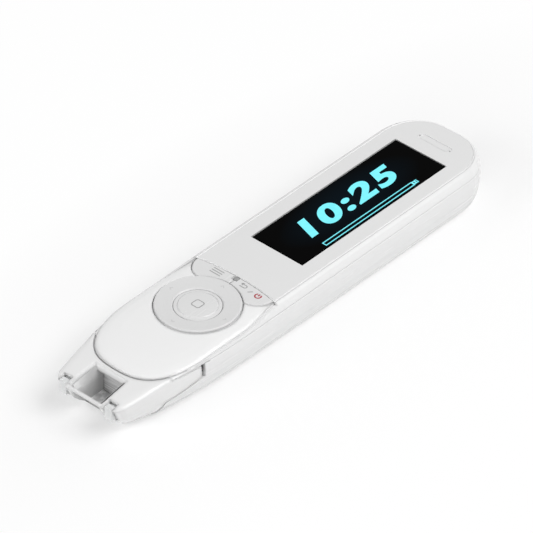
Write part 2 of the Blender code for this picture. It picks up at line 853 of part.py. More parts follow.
def make_nose_housing(materials):
    """The scanning nose: open window and mouth, two prongs, a front bar and side arms that clip in."""
    nose = add_object("nose_housing", *bridged_loft(nose_rings()), materials["nose"])
    reach = body_half_width + overrun
    ahead = nose_y - overrun
    behind = bulkhead_y + bulkhead_thickness
    cut(nose, *prism(parting_profile(0.0, 0.0), -reach, reach, "X"), "keep_nose_part", "INTERSECT")

    room = [body_ring(level(height), lambda z, y: side_inset(min(z, seam_height), y) + arm_thickness)
            for height in (chamber_floor, arm_end_low, body_height + overrun)]
    rear_room = hidden_tool(add_object("rear_room", *loft(room)))
    side, lid = (-reach, reach), body_height + 2 * overrun
    cut(rear_room, *box(side, (ahead, behind), (0.0, lid)), "cut_rear_room_front")
    cut(rear_room, *box(side, (ahead, nose_top_rear_y - gap / 2), (deck_underside, lid)), "cut_rear_room_deck")
    cut_by(nose, rear_room)

    cut(nose, *domed_loft(cover_rings(gap, body_height + overrun)), "cut_cover_seat_in_nose")

    side_view = [(ahead, chamber_floor), (bulkhead_y, chamber_floor),
                 (bulkhead_y, deck_underside), (visor_back_y, deck_underside),
                 (nose_y + bar_width, brow_height), (ahead, brow_height)]
    cut(nose, *prism(side_view, -chamber_half_width, chamber_half_width, "X"), "cut_chamber")

    back, front = visor_back_y, nose_y + bar_width

    def window_ring(rise, back_share, front_share, draft):
        back_width, front_width = back_share * body_half_width, front_share * body_half_width
        corners = ((front_width, front + draft), (back_width, back - draft),
                   (-back_width, back - draft), (-front_width, front + draft))
        return [(x, y, nose_top(y) + rise) for x, y in corners]

    window = loft([window_ring(overrun, window_back_share, window_front_share, 0.0),
                   window_ring(0.0, window_back_share, window_front_share, 0.0),
                   window_ring(-window_depth - gap, window_foot_back_share, window_foot_front_share,
                               window_draft)])
    cut(nose, *window, "cut_window")

    low, high = stud_top - stud_height - gap, stud_top + gap
    notch_rear, lid = stud_head_rear_y + tip_travel + gap, body_height + overrun
    channel = [(ahead, low), (behind + overrun, low), (behind + overrun, high), (notch_rear, high),
               (notch_rear, lid), (ahead, lid)]
    for side, x in zip(("left", "right"), side_pair(stud_middle, stud_width + 2 * gap)):
        cut(nose, *prism(channel, *x, "X"), f"cut_{side}_guide_channel")
    for side, x in zip(("left", "right"), side_pair(led_x, led_width + 2 * gap)):
        cut(nose, *box(x, (bulkhead_y - overrun, behind + overrun),
                       (light_low - gap, light_low + led_height + gap)), f"cut_{side}_light_hole")
    cut(nose, *disc((0.0, lens_height), lens_radius, bulkhead_y - overrun, behind + overrun,
                    small_steps, "Y"), "cut_lens_hole")


def cover_rings(grow, top=None):
    """Rings of the front cover from its underside round its edge and over its crown, or of its room."""
    outline = cover_outline(grow)
    hub_y = cover_centre_y

    def scaled(share, height):
        return [(x * share, hub_y + (y - hub_y) * share, height(hub_y + (y - hub_y) * share, y, share))
                for x, y in outline]

    def crown(y, edge_y, share):
        edge = cover_edge_height(edge_y)
        return edge + (cover_crest(y) - edge) * math.sqrt(max(1 - share ** cover_rim_power, 0.0))

    under = [scaled(share, lambda y, edge_y, s: crown(y, edge_y, s) - cover_thickness - grow)
             for share in cover_ring_shares[:cover_under_rings]]
    lip = scaled(cover_lip_share, lambda y, edge_y, s: cover_edge_height(edge_y) - grow)
    if top is None:
        over = [scaled(share, crown) for share in reversed(cover_ring_shares)]
        return under + [lip] + over
    edge = scaled(1.0, lambda y, edge_y, s: cover_edge_height(edge_y) - grow)
    lid = scaled(1.0, lambda y, edge_y, s: top)
    return under + [lip, edge, lid]


def make_front_cover(materials):
    """The glossy oval cover: a shallow crowned shell with openings for the keys."""
    cover = add_object("front_cover", *domed_loft(cover_rings(0.0)), materials["cover"])
    top = body_height + overrun
    cut(cover, *prism(key_opening(), 0.0, top), "cut_key_opening")


def make_display(materials):
    """The panel, its dark screen glass, the display module behind it and the module's frame."""
    rear = screen_rear_y
    outer = panel_outline()
    inner = panel_outline(panel_edge_bevel)
    rings = [[(x, y, panel_underside) for x, y in outer],
             [(x, y, body_height - panel_edge_bevel) for x, y in outer],
             [(x, y, body_height) for x, y in inner]]
    panel = add_object("display_panel", *loft(rings), materials["panel"])
    window = ((-screen_half_width, screen_half_width), (screen_front_y, rear), (0.0, body_height + overrun))
    cut(panel, *box(*window), "cut_screen_window")
    slot = stadium((0.0, slot_y), slot_length, slot_width)
    cut(panel, *prism(slot, 0.0, body_height + overrun), "cut_speaker_slot")

    glass = add_object("screen_glass", *box(
        (-screen_half_width + gap, screen_half_width - gap), (screen_front_y + gap, rear - gap),
        (body_height - screen_glass_thickness, body_height)), materials["screen"])
    rounded(glass, gap / 2, 1)

    border = display_module_border
    module_x = (-screen_half_width - border, screen_half_width + border)
    module_y = (screen_front_y - border, rear + border)
    module = add_object("display_module", *box(module_x, module_y, (module_low, module_top)),
                        materials["module"])
    rounded(module, gap, 1)

    frame_low, frame_top = board_top + gap, module_low - gap
    frame = add_object("display_frame", *box(module_x, module_y, (frame_low, frame_top)), materials["frame"])
    inside_x = (module_x[0] + display_frame_wall, module_x[1] - display_frame_wall)
    inside_y = (module_y[0] + display_frame_wall, module_y[1] - display_frame_wall)
    cut(frame, *box(inside_x, inside_y, (0.0, body_height)), "cut_display_frame")

    root, bend = module_y[0] - gap, module_y[0] - gap - ribbon_reach
    under, over = module_low + ribbon_rise, module_low + ribbon_rise + ribbon_thickness
    ribbon = [(root, under), (bend + ribbon_thickness, under),
              (bend + ribbon_thickness, frame_low + ribbon_thickness), (root, frame_low + ribbon_thickness),
              (root, frame_low), (bend, frame_low), (bend, over), (root, over)]
    add_object("display_ribbon", *prism(ribbon, -ribbon_width / 2, ribbon_width / 2, "X"),
               materials["ribbon"])


def make_sound(materials):
    """The speaker with its mesh and slot bar, and the microphone under its pinhole."""
    bar_outline = stadium((0.0, slot_y), slot_bar_length, slot_bar_width)
    bar_top = body_height - gap / 2
    bar = add_object("speaker_slot_bar", *prism(bar_outline, bar_top - slot_bar_height, bar_top),
                     materials["panel"])
    mesh = stadium((0.0, slot_y), slot_length + speaker_mesh_margin, slot_width + speaker_mesh_margin)
    mesh_top = panel_underside - gap
    add_object("speaker_mesh", *prism(mesh, mesh_top - speaker_mesh_thickness, mesh_top), materials["black"])
    stand = stadium((0.0, slot_y), slot_bar_length - slot_width, slot_bar_width - gap)
    cut(bar, *prism(stand, panel_underside - gap / 2, body_height - slot_bar_height / 2),
        "add_slot_bar_foot", "UNION")
    speaker_top = mesh_top - speaker_mesh_thickness - gap
    speaker = add_object("speaker", *box(
        (-speaker_half_length, speaker_half_length), (slot_y - speaker_width / 2, slot_y + speaker_width / 2),
        (speaker_top - speaker_share * key_room, speaker_top)), materials["black"])
    rounded(speaker, gap, 1)
    cone_length, cone_width = 2 * speaker_half_length * speaker_cone_share, speaker_width * speaker_cone_share
    cone = stadium((0.0, slot_y), cone_length, cone_width)
    cut(speaker, *prism(cone, speaker_top - gap, speaker_top + overrun), "cut_speaker_cone")
    mic_top = panel_underside - gap - shelf_thickness - gap
    mic_low = mic_top - microphone_share * key_room
    mic_place = (mic_inset - body_half_width, tail_y - mic_setback)
    add_object("microphone", *disc(mic_place, mic_radius, mic_low, mic_top, small_steps),
               materials["metal"])


def make_key(name, side, materials):
    """One arched key with a stem that reaches down to the rubber mat."""
    pivot = Vector((side * key_end_x / 2, panel_front(key_end_x / 2) - key_stem_setback, body_height))
    top = body_height + key_top_rise
    bevel = key_edge_bevel
    levels = ((gap, top - key_thickness), (gap, top - bevel), (gap + bevel / 2, top - bevel / 4),
              (gap + bevel, top))
    rings = [[(x, y, z) for x, y in key_outline(side, shrink)] for shrink, z in levels]
    key = add_object(name, *loft(rings), materials["key"], pivot)
    stem = box((pivot.x - key_stem_width / 2, pivot.x + key_stem_width / 2),
               (pivot.y - key_stem_width / 2, pivot.y + key_stem_width / 2),
               (stem_foot, top - key_thickness / 2))
    cut(key, *stem, f"add_{name}_stem", "UNION")
    notch = status_light_width / 2 + gap
    light_y = status_light_y()
    cut(key, *box((-notch, notch), (light_y - notch, light_y + notch + gap), (0.0, top + overrun)),
        f"cut_{name}_notch")


def status_light_y():
    """Middle of the status light, in the corner between the two keys and the panel."""
    return panel_front(0.0) - gap - status_light_width / 2


def make_navigation(materials):
    """The rocking ring, the fulcrum it rocks on and the select key in its middle."""
    centre = (0.0, nav_y)
    pivot = Vector((0.0, nav_y, flange_low))
    top = body_height + nav_rise
    edge = nav_edge_radius
    profile = [
        (nav_bore_radius, flange_low), (nav_radius + nav_flange_width, flange_low),
        (nav_radius + nav_flange_width, flange_top), (nav_radius, flange_top), (nav_radius, top - edge),
        (nav_radius - edge / 3, top - edge / 3), (nav_radius - edge, top),
        ((nav_radius + nav_bore_radius) / 2, top - nav_dish * dish_middle_share),
        (nav_bore_radius + edge, top - nav_dish), (nav_bore_radius, top - nav_dish - edge)]
    ring = add_object("nav_ring", *turned(profile, centre), materials["ring"], pivot)
    for index in range(4):
        turn = math.pi / 2 * index
        place = (nav_nub_circle * math.cos(turn), nav_y + nav_nub_circle * math.sin(turn))
        cut(ring, *disc(place, nav_nub_radius, stem_foot, flange_top, small_steps),
            f"add_nav_nub_{index}", "UNION")

    fulcrum_low = board_top + fulcrum_low_share * key_room
    fulcrum_top = fulcrum_low + fulcrum_share * key_room
    washer = [(select_stem_radius + gap, fulcrum_low), (nav_bore_radius - gap, fulcrum_low),
              (nav_bore_radius - gap, fulcrum_top), (select_stem_radius + gap, fulcrum_top)]
    add_object("nav_fulcrum", *turned(washer, centre), materials["frame"], pivot)

    key_top = top - nav_dish
    key_low = key_top - select_thickness
    crown = [(0.0, stem_foot), (select_stem_radius, stem_foot), (select_stem_radius, key_low),
             (select_radius, key_low), (select_radius, key_top - edge), (select_radius - edge, key_top)]
    for i in range(1, 4):
        share = 1 - i / 4
        crown.append(((select_radius - edge) * share, key_top + select_crown * (1 - share * share)))
    crown.append((0.0, key_top + select_crown))
    add_object("select_key", *turned_solid(crown, centre), materials["key"], Vector((0.0, nav_y, key_top)))


def mat_outline(inset):
    """The key mat in plan: round under the navigation key, straight sides under the two arched keys."""
    half, radius = mat_half_width - inset, mat_radius - inset
    opening = math.asin(half / radius)
    outline = [(half, mat_rear_y - inset), (-half, mat_rear_y - inset)]
    for i in range(ring_steps // 2 + 1):
        turn = math.pi / 2 + opening + (2 * math.pi - 2 * opening) * i / (ring_steps // 2)
        outline.append((radius * math.cos(turn), nav_y + radius * math.sin(turn)))
    return outline


def make_key_electronics(materials):
    """Rubber mat, dome switches on their film and the status light under the keys."""
    half, y = status_light_width / 2, status_light_y()
    light_hole = box((-half - gap, half + gap), (y - half - gap, y + half + gap), (0.0, body_height))
    mat = add_object("key_mat", *prism(mat_outline(0.0), mat_low, mat_top), materials["rubber"])
    nub_top = mat_top + mat_nub_share * key_room
    nubs = [disc(place, mat_nub_radius, (mat_low + mat_top) / 2, nub_top, small_steps)
            for place in switch_places()]
    cut(mat, *joined(*nubs), "add_mat_nubs", "UNION")
    cut(mat, *light_hole, "cut_mat_light_hole")

    base = board_top + gap
    film = add_object("dome_switches", *prism(mat_outline(dome_film_inset), base, base + dome_film_thickness),
                      materials["metal"])
    dome_foot, dome_height = base + dome_film_thickness / 2, dome_height_share * key_room
    turns = [math.pi / 2 * lift / dome_steps for lift in range(dome_steps)]
    domes = []
    for place in switch_places():
        domes.append(loft([[(x, y, dome_foot + dome_height * math.sin(turn))
                            for x, y in circle(place, dome_radius * math.cos(turn), small_steps)]
                           for turn in turns]))
    cut(film, *joined(*domes), "add_domes", "UNION")
    cut(film, *light_hole, "cut_film_light_hole")
    light = add_object("status_light", *box((-half, half), (y - half, y + half), (base, body_height)),
                       materials["light"])
    rounded(light, gap / 2, 1)


def switch_places():
    """Places of the dome switches: two keys, the select key and four under the ring."""
    key_y = panel_front(key_end_x / 2) - key_stem_setback
    places = [(-key_end_x / 2, key_y), (key_end_x / 2, key_y), (0.0, nav_y)]
    for index in range(4):
        turn = math.pi / 2 * index
        places.append((nav_nub_circle * math.cos(turn), nav_y + nav_nub_circle * math.sin(turn)))
    return places


def make_boards(materials):
    """Main board with its shield, the battery under it, the data socket at its tail."""
    half, chamfer = main_board_half_width, main_board_chamfer
    front, rear = main_board_front_y, main_board_rear_y
    outline = [(half, front), (half, rear - chamfer), (half - chamfer, rear), (-half + chamfer, rear),
               (-half, rear - chamfer), (-half, front)]
    board = add_object("main_board", *prism(outline, main_board_height, board_top), materials["board"])
    holes = [disc(place, screw_radius + gap, 0.0, body_height, small_steps)
             for place in screw_places().values()]
    cut(board, *joined(*holes), "cut_board_holes")

    shield = add_object("shield_can", *box(
        (-shield_half_width, shield_half_width), (shield_front_y, shield_front_y + shield_length),
        (board_top + gap, module_low - gap)), materials["metal"])
    rounded(shield, gap / 2, 1)

    battery = add_object("battery", *box(
        (-battery_half_width, battery_half_width), (battery_front_y, battery_rear_y),
        (floor_thickness + gap, main_board_height - battery_headroom)), materials["battery"])
    rounded(battery, battery_edge, 3)

    rear = tail_y - socket_rear_margin
    socket = add_object("data_socket", *prism(socket_section(0.0), rear - socket_length, rear, "Y"),
                        materials["metal"])
    back = rear - socket_length + socket_wall
    cut(socket, *prism(socket_section(-socket_wall), back, rear + overrun, "Y"), "cut_socket_mouth")
    tongue_half = (socket_width - socket_height) / 2
    tongue = box((-tongue_half, tongue_half), (back - socket_wall / 2, rear - socket_height / 2),
                 (socket_middle() - socket_tongue_height / 2, socket_middle() + socket_tongue_height / 2))
    cut(socket, *tongue, "add_socket_tongue", "UNION")


def make_optics(materials):
    """Everything behind the scanning window: shroud, pane, lights, lens, sensor and its board."""
    behind = bulkhead_y + bulkhead_thickness
    outer = chamber_half_width - gap
    inner = outer - shroud_wall
    low = chamber_floor + gap
    top = brow_height - shroud_clearance
    pane_front = bulkhead_y - gap - pane_thickness
    section = [(-outer, low), (outer, low), (outer, top), (inner, top), (inner, low + shroud_wall),
               (-inner, low + shroud_wall), (-inner, top), (-outer, top)]
    add_object("optics_shroud", *prism(section, pane_front - gap - shroud_length, pane_front - gap, "Y"),
               materials["black"])
    add_object("scan_pane", *box((-outer, outer), (pane_front, pane_front + pane_thickness), (low, top)),
               materials["clear"])
    for side, x in zip(("left", "right"), side_pair(led_x, led_width)):
        add_object(f"scan_light_{side}", *box(x, (behind - led_depth, behind),
                                              (light_low, light_low + led_height)), materials["light"])

    axis_place, lens_front, lens_rear = (0.0, lens_height), behind + gap, behind + gap + lens_length
    lens = add_object("lens_barrel", *disc(axis_place, lens_radius, lens_front, lens_rear, small_steps, "Y"),
                      materials["black"])
    cut(lens, *disc(axis_place, lens_flange_radius, lens_rear - lens_flange_thickness, lens_rear,
                    small_steps, "Y"), "add_lens_flange", "UNION")
    cut(lens, *disc(axis_place, lens_radius * lens_bore_share, lens_front - overrun,
                    lens_front + lens_flange_thickness, small_steps, "Y"), "cut_lens_mouth")
    sensor_front = lens_rear + gap
    add_object("image_sensor", *box((-sensor_width / 2, sensor_width / 2),
                                    (sensor_front, sensor_front + sensor_thickness),
                                    (lens_height - sensor_height / 2, lens_height + sensor_height / 2)),
               materials["black"])
    board_front = sensor_front + sensor_thickness + gap
    add_object("sensor_board", *box((-sensor_board_half_width, sensor_board_half_width),
                                    (board_front, board_front + board_thickness),
                                    (floor_thickness + gap, floor_thickness + gap + sensor_board_height)),
               materials["board"])


def make_tip_guide(materials):
    """The clear frame whose two studs stand out of the nose, and the switch that it presses."""
    low = stud_top - stud_height
    pivot = Vector((0.0, stud_front_y, low))
    leg_front = guide_rear_y - guide_leg_thickness
    head_top = stud_top + stud_head_rise
    side_view = [(stud_front_y, low), (guide_rear_y, low), (guide_rear_y, stud_top),
                 (stud_head_rear_y, stud_top), (stud_head_rear_y, head_top), (stud_front_y, head_top)]
    left_x, right_x = side_pair(stud_middle, stud_width)
    guide = add_object("tip_guide", *prism(side_view, *left_x, "X"), materials["clear"], pivot)
    cut(guide, *prism(side_view, *right_x, "X"), "add_right_stud", "UNION")
    for side, x in zip(("left", "right"), side_pair(stud_middle, stud_width)):
        leg = box(x, (leg_front, guide_rear_y), (guide_bar_low, low + guide_bar_height))
        cut(guide, *leg, f"add_{side}_leg", "UNION")
    reach = stud_x + stud_width / 2
    bar = box((-reach, reach), (leg_front, guide_rear_y), (guide_bar_low, guide_bar_low + guide_bar_height))
    cut(guide, *bar, "add_guide_bar", "UNION")
    rounded(guide, gap, 2)

    switch_front = guide_rear_y + tip_travel + gap
    switch = add_object("tip_switch", *box(
        (stud_middle - tip_switch_width / 2, stud_middle + tip_switch_width / 2),
        (switch_front, switch_front + tip_switch_length),
        (floor_thickness + gap, floor_thickness + gap + tip_switch_height)), materials["black"])
    rounded(switch, gap / 2, 1)


def make_screws(materials):
    """The casing screws, driven from below."""
    head_low = screw_recess_depth
    head_top = head_low + screw_head_height
    for name, place in screw_places().items():
        profile = [(0.0, head_low), (screw_head_radius, head_low), (screw_head_radius, head_top),
                   (screw_radius, head_top), (screw_radius, screw_tip), (0.0, screw_tip)]
        screw = add_object(f"casing_screw_{name}", *turned_solid(profile, place, small_steps),
                           materials["metal"])
        slots = [box((place[0] - across, place[0] + across), (place[1] - along, place[1] + along),
                     (0.0, head_low + screw_head_height / 2))
                 for across, along in ((screw_radius, gap / 2), (gap / 2, screw_radius))]
        for index, slot in enumerate(slots):
            cut(screw, *slot, f"cut_{name}_cross_{index}")


def make_materials():
    """Each finish of the pen."""
    return {
        "casing": plastic("casing_white", (0.80, 0.80, 0.80), 0.35),
        "cover": plastic("cover_gloss_white", (0.86, 0.86, 0.86), 0.12),
        "panel": plastic("panel_gloss_white", (0.74, 0.74, 0.75), 0.10),
        "nose": plastic("nose_white", (0.78, 0.78, 0.78), 0.40),
        "key": plastic("key_white", (0.78, 0.78, 0.78), 0.30),
        "ring": plastic("ring_white", (0.70, 0.70, 0.71), 0.32),
        "screen": plastic("screen_black", (0.004, 0.005, 0.007), 0.05),
        "module": plastic("display_black", (0.02, 0.02, 0.02), 0.3),
        "frame": plastic("frame_grey", (0.35, 0.35, 0.36), 0.5),
        "ribbon": plastic("ribbon_amber", (0.55, 0.28, 0.06), 0.4),
        "black": plastic("black_plastic", (0.03, 0.03, 0.03), 0.45),
        "metal": plastic("bright_metal", (0.62, 0.62, 0.63), 0.3, 1.0),
        "clear": plastic("clear_plastic", (0.85, 0.88, 0.88), 0.08, 0.0, 0.4),
        "light": plastic("smoked_light", (0.10, 0.10, 0.11), 0.15),
        "rubber": plastic("grey_rubber", (0.45, 0.45, 0.45), 0.7),
        "board": plastic("board_green", (0.03, 0.16, 0.07), 0.45),
        "battery": plastic("battery_silver", (0.55, 0.56, 0.58), 0.35, 0.4),
    }


def group_pieces():
    """Hang the pieces on empties: one for the pen, one on the navigation key's pivot."""
    pen = bpy.data.objects.new("pen", None)
    bpy.context.collection.objects.link(pen)
    rocker = bpy.data.objects.new("navigation_pivot", None)
    rocker.location = bpy.data.objects["nav_ring"].location
    bpy.context.collection.objects.link(rocker)
    rocker.parent = pen
    for piece in list(bpy.data.objects):
        if piece in (pen, rocker):
            continue
        if piece.name in ("nav_ring", "nav_fulcrum"):
            piece.parent = rocker
            piece.location = piece.location - rocker.location
        else:
            piece.parent = pen


def build():
    """Make every piece of the pen."""
    for old in list(bpy.data.objects):
        bpy.data.objects.remove(old, do_unlink=True)
    materials = make_materials()
    make_lower_shell(materials)
    make_upper_shell(materials)
    make_nose_housing(materials)
    make_front_cover(materials)
    make_display(materials)
    make_sound(materials)
    make_key("menu_key", -1, materials)
    make_key("return_key", 1, materials)
    make_navigation(materials)
    make_key_electronics(materials)
    make_boards(materials)
    make_optics(materials)
    make_tip_guide(materials)
    make_screws(materials)
    group_pieces()


build()
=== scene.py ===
"""Dressed scene of the handheld scanning pen: finishes, printed marks, display picture, studio and camera."""
import json
import math

import bmesh
import bpy
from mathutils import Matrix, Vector
from mathutils.bvhtree import BVHTree
from mathutils.geometry import convex_hull_2d


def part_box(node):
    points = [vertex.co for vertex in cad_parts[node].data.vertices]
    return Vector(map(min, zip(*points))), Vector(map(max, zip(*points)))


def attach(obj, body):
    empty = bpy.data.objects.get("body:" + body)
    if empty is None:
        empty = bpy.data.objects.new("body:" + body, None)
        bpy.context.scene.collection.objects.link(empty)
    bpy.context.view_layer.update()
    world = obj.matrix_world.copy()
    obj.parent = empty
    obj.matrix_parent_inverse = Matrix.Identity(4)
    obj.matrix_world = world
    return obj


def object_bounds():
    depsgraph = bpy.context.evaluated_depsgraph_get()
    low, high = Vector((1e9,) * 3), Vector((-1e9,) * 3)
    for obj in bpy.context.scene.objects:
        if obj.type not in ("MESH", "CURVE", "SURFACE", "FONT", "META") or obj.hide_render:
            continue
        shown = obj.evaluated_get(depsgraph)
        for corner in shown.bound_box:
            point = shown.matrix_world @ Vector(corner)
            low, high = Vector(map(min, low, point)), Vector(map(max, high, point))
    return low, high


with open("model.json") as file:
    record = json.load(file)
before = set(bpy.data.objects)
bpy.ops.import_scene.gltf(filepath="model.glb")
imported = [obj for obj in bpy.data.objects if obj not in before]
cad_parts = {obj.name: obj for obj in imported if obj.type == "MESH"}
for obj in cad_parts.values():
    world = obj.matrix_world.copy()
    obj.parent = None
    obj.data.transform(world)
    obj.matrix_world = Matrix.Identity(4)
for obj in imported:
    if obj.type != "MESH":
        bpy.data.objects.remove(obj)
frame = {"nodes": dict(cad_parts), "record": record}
cad_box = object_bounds()
nodes = frame["nodes"]

MM = 0.001
MICRON = 0.000001

# Lengths are in millimetres unless a comment says otherwise: +X is the pen's right side, +Y runs to its tail,
# +Z is up out of the display. Places along the nose are set back from its tip, to a tenth of a millimetre.
nose_tip = round(cad_box[0].y / MM, 1)

# Studio: each lamp's place and size in metres, and its power in watts; every lamp faces the pen
lamps = {
    "rear_softbox": ((0.0, 0.75, 0.30), (0.45, 0.45), 0.5),
    "upper_softbox": ((0.40, 0.20, 0.59), (0.60, 0.48), 3.7),
    "front_right_softbox": ((0.35, -0.60, 0.30), (0.35, 0.35), 0.8),
    "front_softbox": ((-0.25, -0.70, 0.35), (0.40, 0.40), 2.2),
}
room_light = 0.35

# Floor: half its side in metres, the share of plain white in it beside the pen and far away, and half the
# width and length of the oval round the pen where that share starts to grow
floor_reach = 3.0
floor_glow_near = 0.4
floor_glow_far = 0.95
clear_across = 32.0
clear_along = 75.0

# Camera: angles in degrees, distance and clipping in metres
camera_azimuth = 42.3
camera_elevation = 38.5
camera_distance = 1.2
camera_target = (2.3, -5.5, 13.0)
camera_clip = (0.05, 20.0)
film_width = 36.0
image_size = 533
pixels_per_millimetre = 4.12

# Finishes: noise cells per metre
flow_cells = 60.0
haze_cells = 240.0
hair_cells = 900.0
grain_cells = 5200.0
brushing_cells = 3000.0
wear_cells = 300.0
crease_cells = 220.0
wave_cells = 500.0
fine_line_cells = 2600.0
broad_line_cells = 500.0
shroud_streak_cells = 700.0
wall_streak_cells = 900.0
dust_cells = 6000.0
wipe_cells = 150.0
glow_cells = 900.0
floor_cells = 3.0

# Finishes: refraction, roughness of a clear coat, share of flow marks against haze, how far a moulding's
# colour strays, and the radius over which the shading rounds its edges
plastic_ior = 1.5
clear_ior = 1.49
coat_roughness = 0.05
flow_share = 0.7
tint_spread = 0.015
casing_rounding = 0.5
cover_rounding = 1.2
nose_rounding = 1.5
bevel_samples = 8

# Where painted shade darkens the nose inside the scanning window, how sharply, and by what share at its front
window_half = 4.9
window_front = nose_tip + 1.5
window_rear = nose_tip + 9.5
window_top = 9.9
window_fade = 2.2
window_edge_contrast = 20.0
window_front_contrast = 5.0
window_front_dark = 0.25

# The window's thin side walls: upper edge, knee and foot at the front and at the rear, and where painted
# shade darkens them
liner_top_half = 4.66
liner_half = 3.76
liner_wall = 0.05
liner_steps = 12
liner_front = nose_tip + 1.55
liner_front_foot = nose_tip + 5.6
liner_front_top = 8.95
liner_front_knee = 7.9
liner_rear = nose_tip + 9.3
liner_rear_foot = nose_tip + 10.9
liner_rear_top = 10.2
liner_rear_knee = 8.25
liner_low = 2.5
liner_light = nose_tip + 2.5
liner_fade = 4.5
liner_shade_top = 8.6
liner_shade_fade = 3.0

# Making of shapes: half a print's thickness, steps in curves, angles in degrees, and the height that rays
# start from
ink = 0.02
arc_steps = 14
turn_steps = 96
sharpest_mitre = 0.5
weld = 0.0005
straight_angle = 1.0
smooth_angle = 35.0
halvings = 12
sky = 50.0

# Lips round the panel, the keys and the ring
seam_depth = 0.22
seam_height = 0.25
seam_gap = 0.3
panel_lip_depth = -0.04
panel_seam_width = 0.26
lip_height = 0.1
bead_steps = 6
key_skirt_width = 0.12
ring_skirt_width = 0.16
ring_skirt_rise = -0.3
collar_gap = 0.34
collar_drop = 0.1
collar_fall = 0.12
collar_height = 0.4

# Floor of the speaker slot, and the grey disc of painted shade that stands for the hole at each of its ends
bar_edge = 0.3
slot_floor_drop = 0.02
slot_side_gap = 0.33
slot_straight = 3.6
slot_blend = 0.7
mesh_margin = 0.3
dot_radius = 0.22
dot_steps = 12

# Seal under the cover's long edges
seal_inset = -0.05
seal_width = 0.45
seal_rise = 0.12
seal_front = nose_tip + 21.5
seal_rear = nose_tip + 52.7
seal_steps = 40

# Lip in the seam between the casing shells
parting_inset = 0.0
parting_width = 0.5
parting_front = nose_tip + 27.3
parting_spacing = 0.15

# Shoulders of the nose under the cover's sides
shoulder_front = nose_tip + 17.05
shoulder_rear = nose_tip + 25.95
shoulder_steps = 12
shoulder_front_top = 11.09
shoulder_rear_top = 10.98
shoulder_edge = 10.3
shoulder_low = 10.15
shoulder_outline_drop = 0.3
shoulder_tuck = 0.3
shoulder_flat_share = 0.1
shoulder_round_steps = 8

# Latch in the slot behind each arm
hook_gap = 0.2
hook_length = 0.5
hook_width = 0.5
hook_low = 8.3
hook_high = 9.7
hook_inset = 0.25

# Display picture: figures and progress bar, set in from the glass's edges
clock_text = "10:25"
clock_weight = 0.04
clock_slant = 0.2
clock_spacing = 1.18
clock_left = 4.3
clock_right = 5.1
clock_front = 9.4
clock_rear = 9.6
bar_margin = 0.7
bar_width = 1.2
bar_front = 9.6
bar_rear = 10.8
bar_line = 0.28
bar_cap = 1.9
notch_pitch = 0.4

# Marks on the keys, set in from each key's inner end and back from its rear edge
mark_line = 0.25
power_line = 0.36
menu_mark_in = 5.0
menu_mark_back = 1.95
menu_mark_width = 3.4
menu_mark_pitch = 0.8
back_mark_in = 2.3
back_mark_back = 1.7
back_mark_length = 1.4
back_mark_radius = 0.5
stroke_mark_in = 5.5
stroke_mark_back = 2.8
stroke_mark_run = 0.95
power_mark_in = 8.45
power_mark_back = 2.25
power_mark_radius = 0.8
power_mark_opening = 38.0
select_mark_side = 2.5
select_mark_corner = 0.6
arrow_circle_share = 0.83
arrow_size = 0.5


# Shader maths
class Flow:
    """One value in a material's nodes; arithmetic on it adds Math nodes."""

    def __init__(self, tree, socket):
        self.tree = tree
        self.socket = socket

    def math(self, operation, *values):
        """A Math node of an operation on values and numbers."""
        node = self.tree.nodes.new("ShaderNodeMath")
        node.operation = operation
        for slot, value in zip(node.inputs, values):
            if isinstance(value, Flow):
                self.tree.links.new(value.socket, slot)
            else:
                slot.default_value = value
        return Flow(self.tree, node.outputs[0])

    def __add__(self, other):
        return self.math("ADD", self, other)

    __radd__ = __add__

    def __sub__(self, other):
        return self.math("SUBTRACT", self, other)

    def __rsub__(self, other):
        return self.math("SUBTRACT", other, self)

    def __mul__(self, other):
        return self.math("MULTIPLY", self, other)

    __rmul__ = __mul__

    def __truediv__(self, other):
        return self.math("DIVIDE", self, other)

    def __rtruediv__(self, other):
        return self.math("DIVIDE", other, self)

    def __pow__(self, other):
        return self.math("POWER", self, other)

    def __abs__(self):
        return self.math("ABSOLUTE", self)

    def clamped(self):
        """The value, held between 0 and 1."""
        return self.math("MINIMUM", self.math("MAXIMUM", self, 0.0), 1.0)

    def above(self, threshold, contrast):
        """0 up to a threshold, from where it rises to 1."""
        return ((self - threshold) * contrast).clamped()


class Shading:
    """The nodes of a material or of the world."""

    def __init__(self, tree):
        self.tree = tree

    def node(self, kind, settings=None, inputs=None, output=0):
        """Any node, from its type, settings and the values or links of its sockets."""
        made = self.tree.nodes.new(kind)
        for name, value in (settings or {}).items():
            setattr(made, name, value)
        for name, value in (inputs or {}).items():
            self.feed(made.inputs[name], value)
        return Flow(self.tree, made.outputs[output])

    def feed(self, socket, value):
        """Link a value to a socket, or set the socket to a number or colour."""
        if isinstance(value, Flow):
            self.tree.links.new(value.socket, socket)
        elif socket.type == "RGBA" and len(value) == 3:
            socket.default_value = (*value, 1.0)
        else:
            socket.default_value = value

    def seen_directly(self):
        """1 for rays from the camera or from a shiny or clear surface, 0 for those that light the pen."""
        camera, glossy, clear = (self.node("ShaderNodeLightPath", output=name)
                                 for name in ("Is Camera Ray", "Is Glossy Ray", "Is Transmission Ray"))
        return (camera + glossy + clear).clamped()


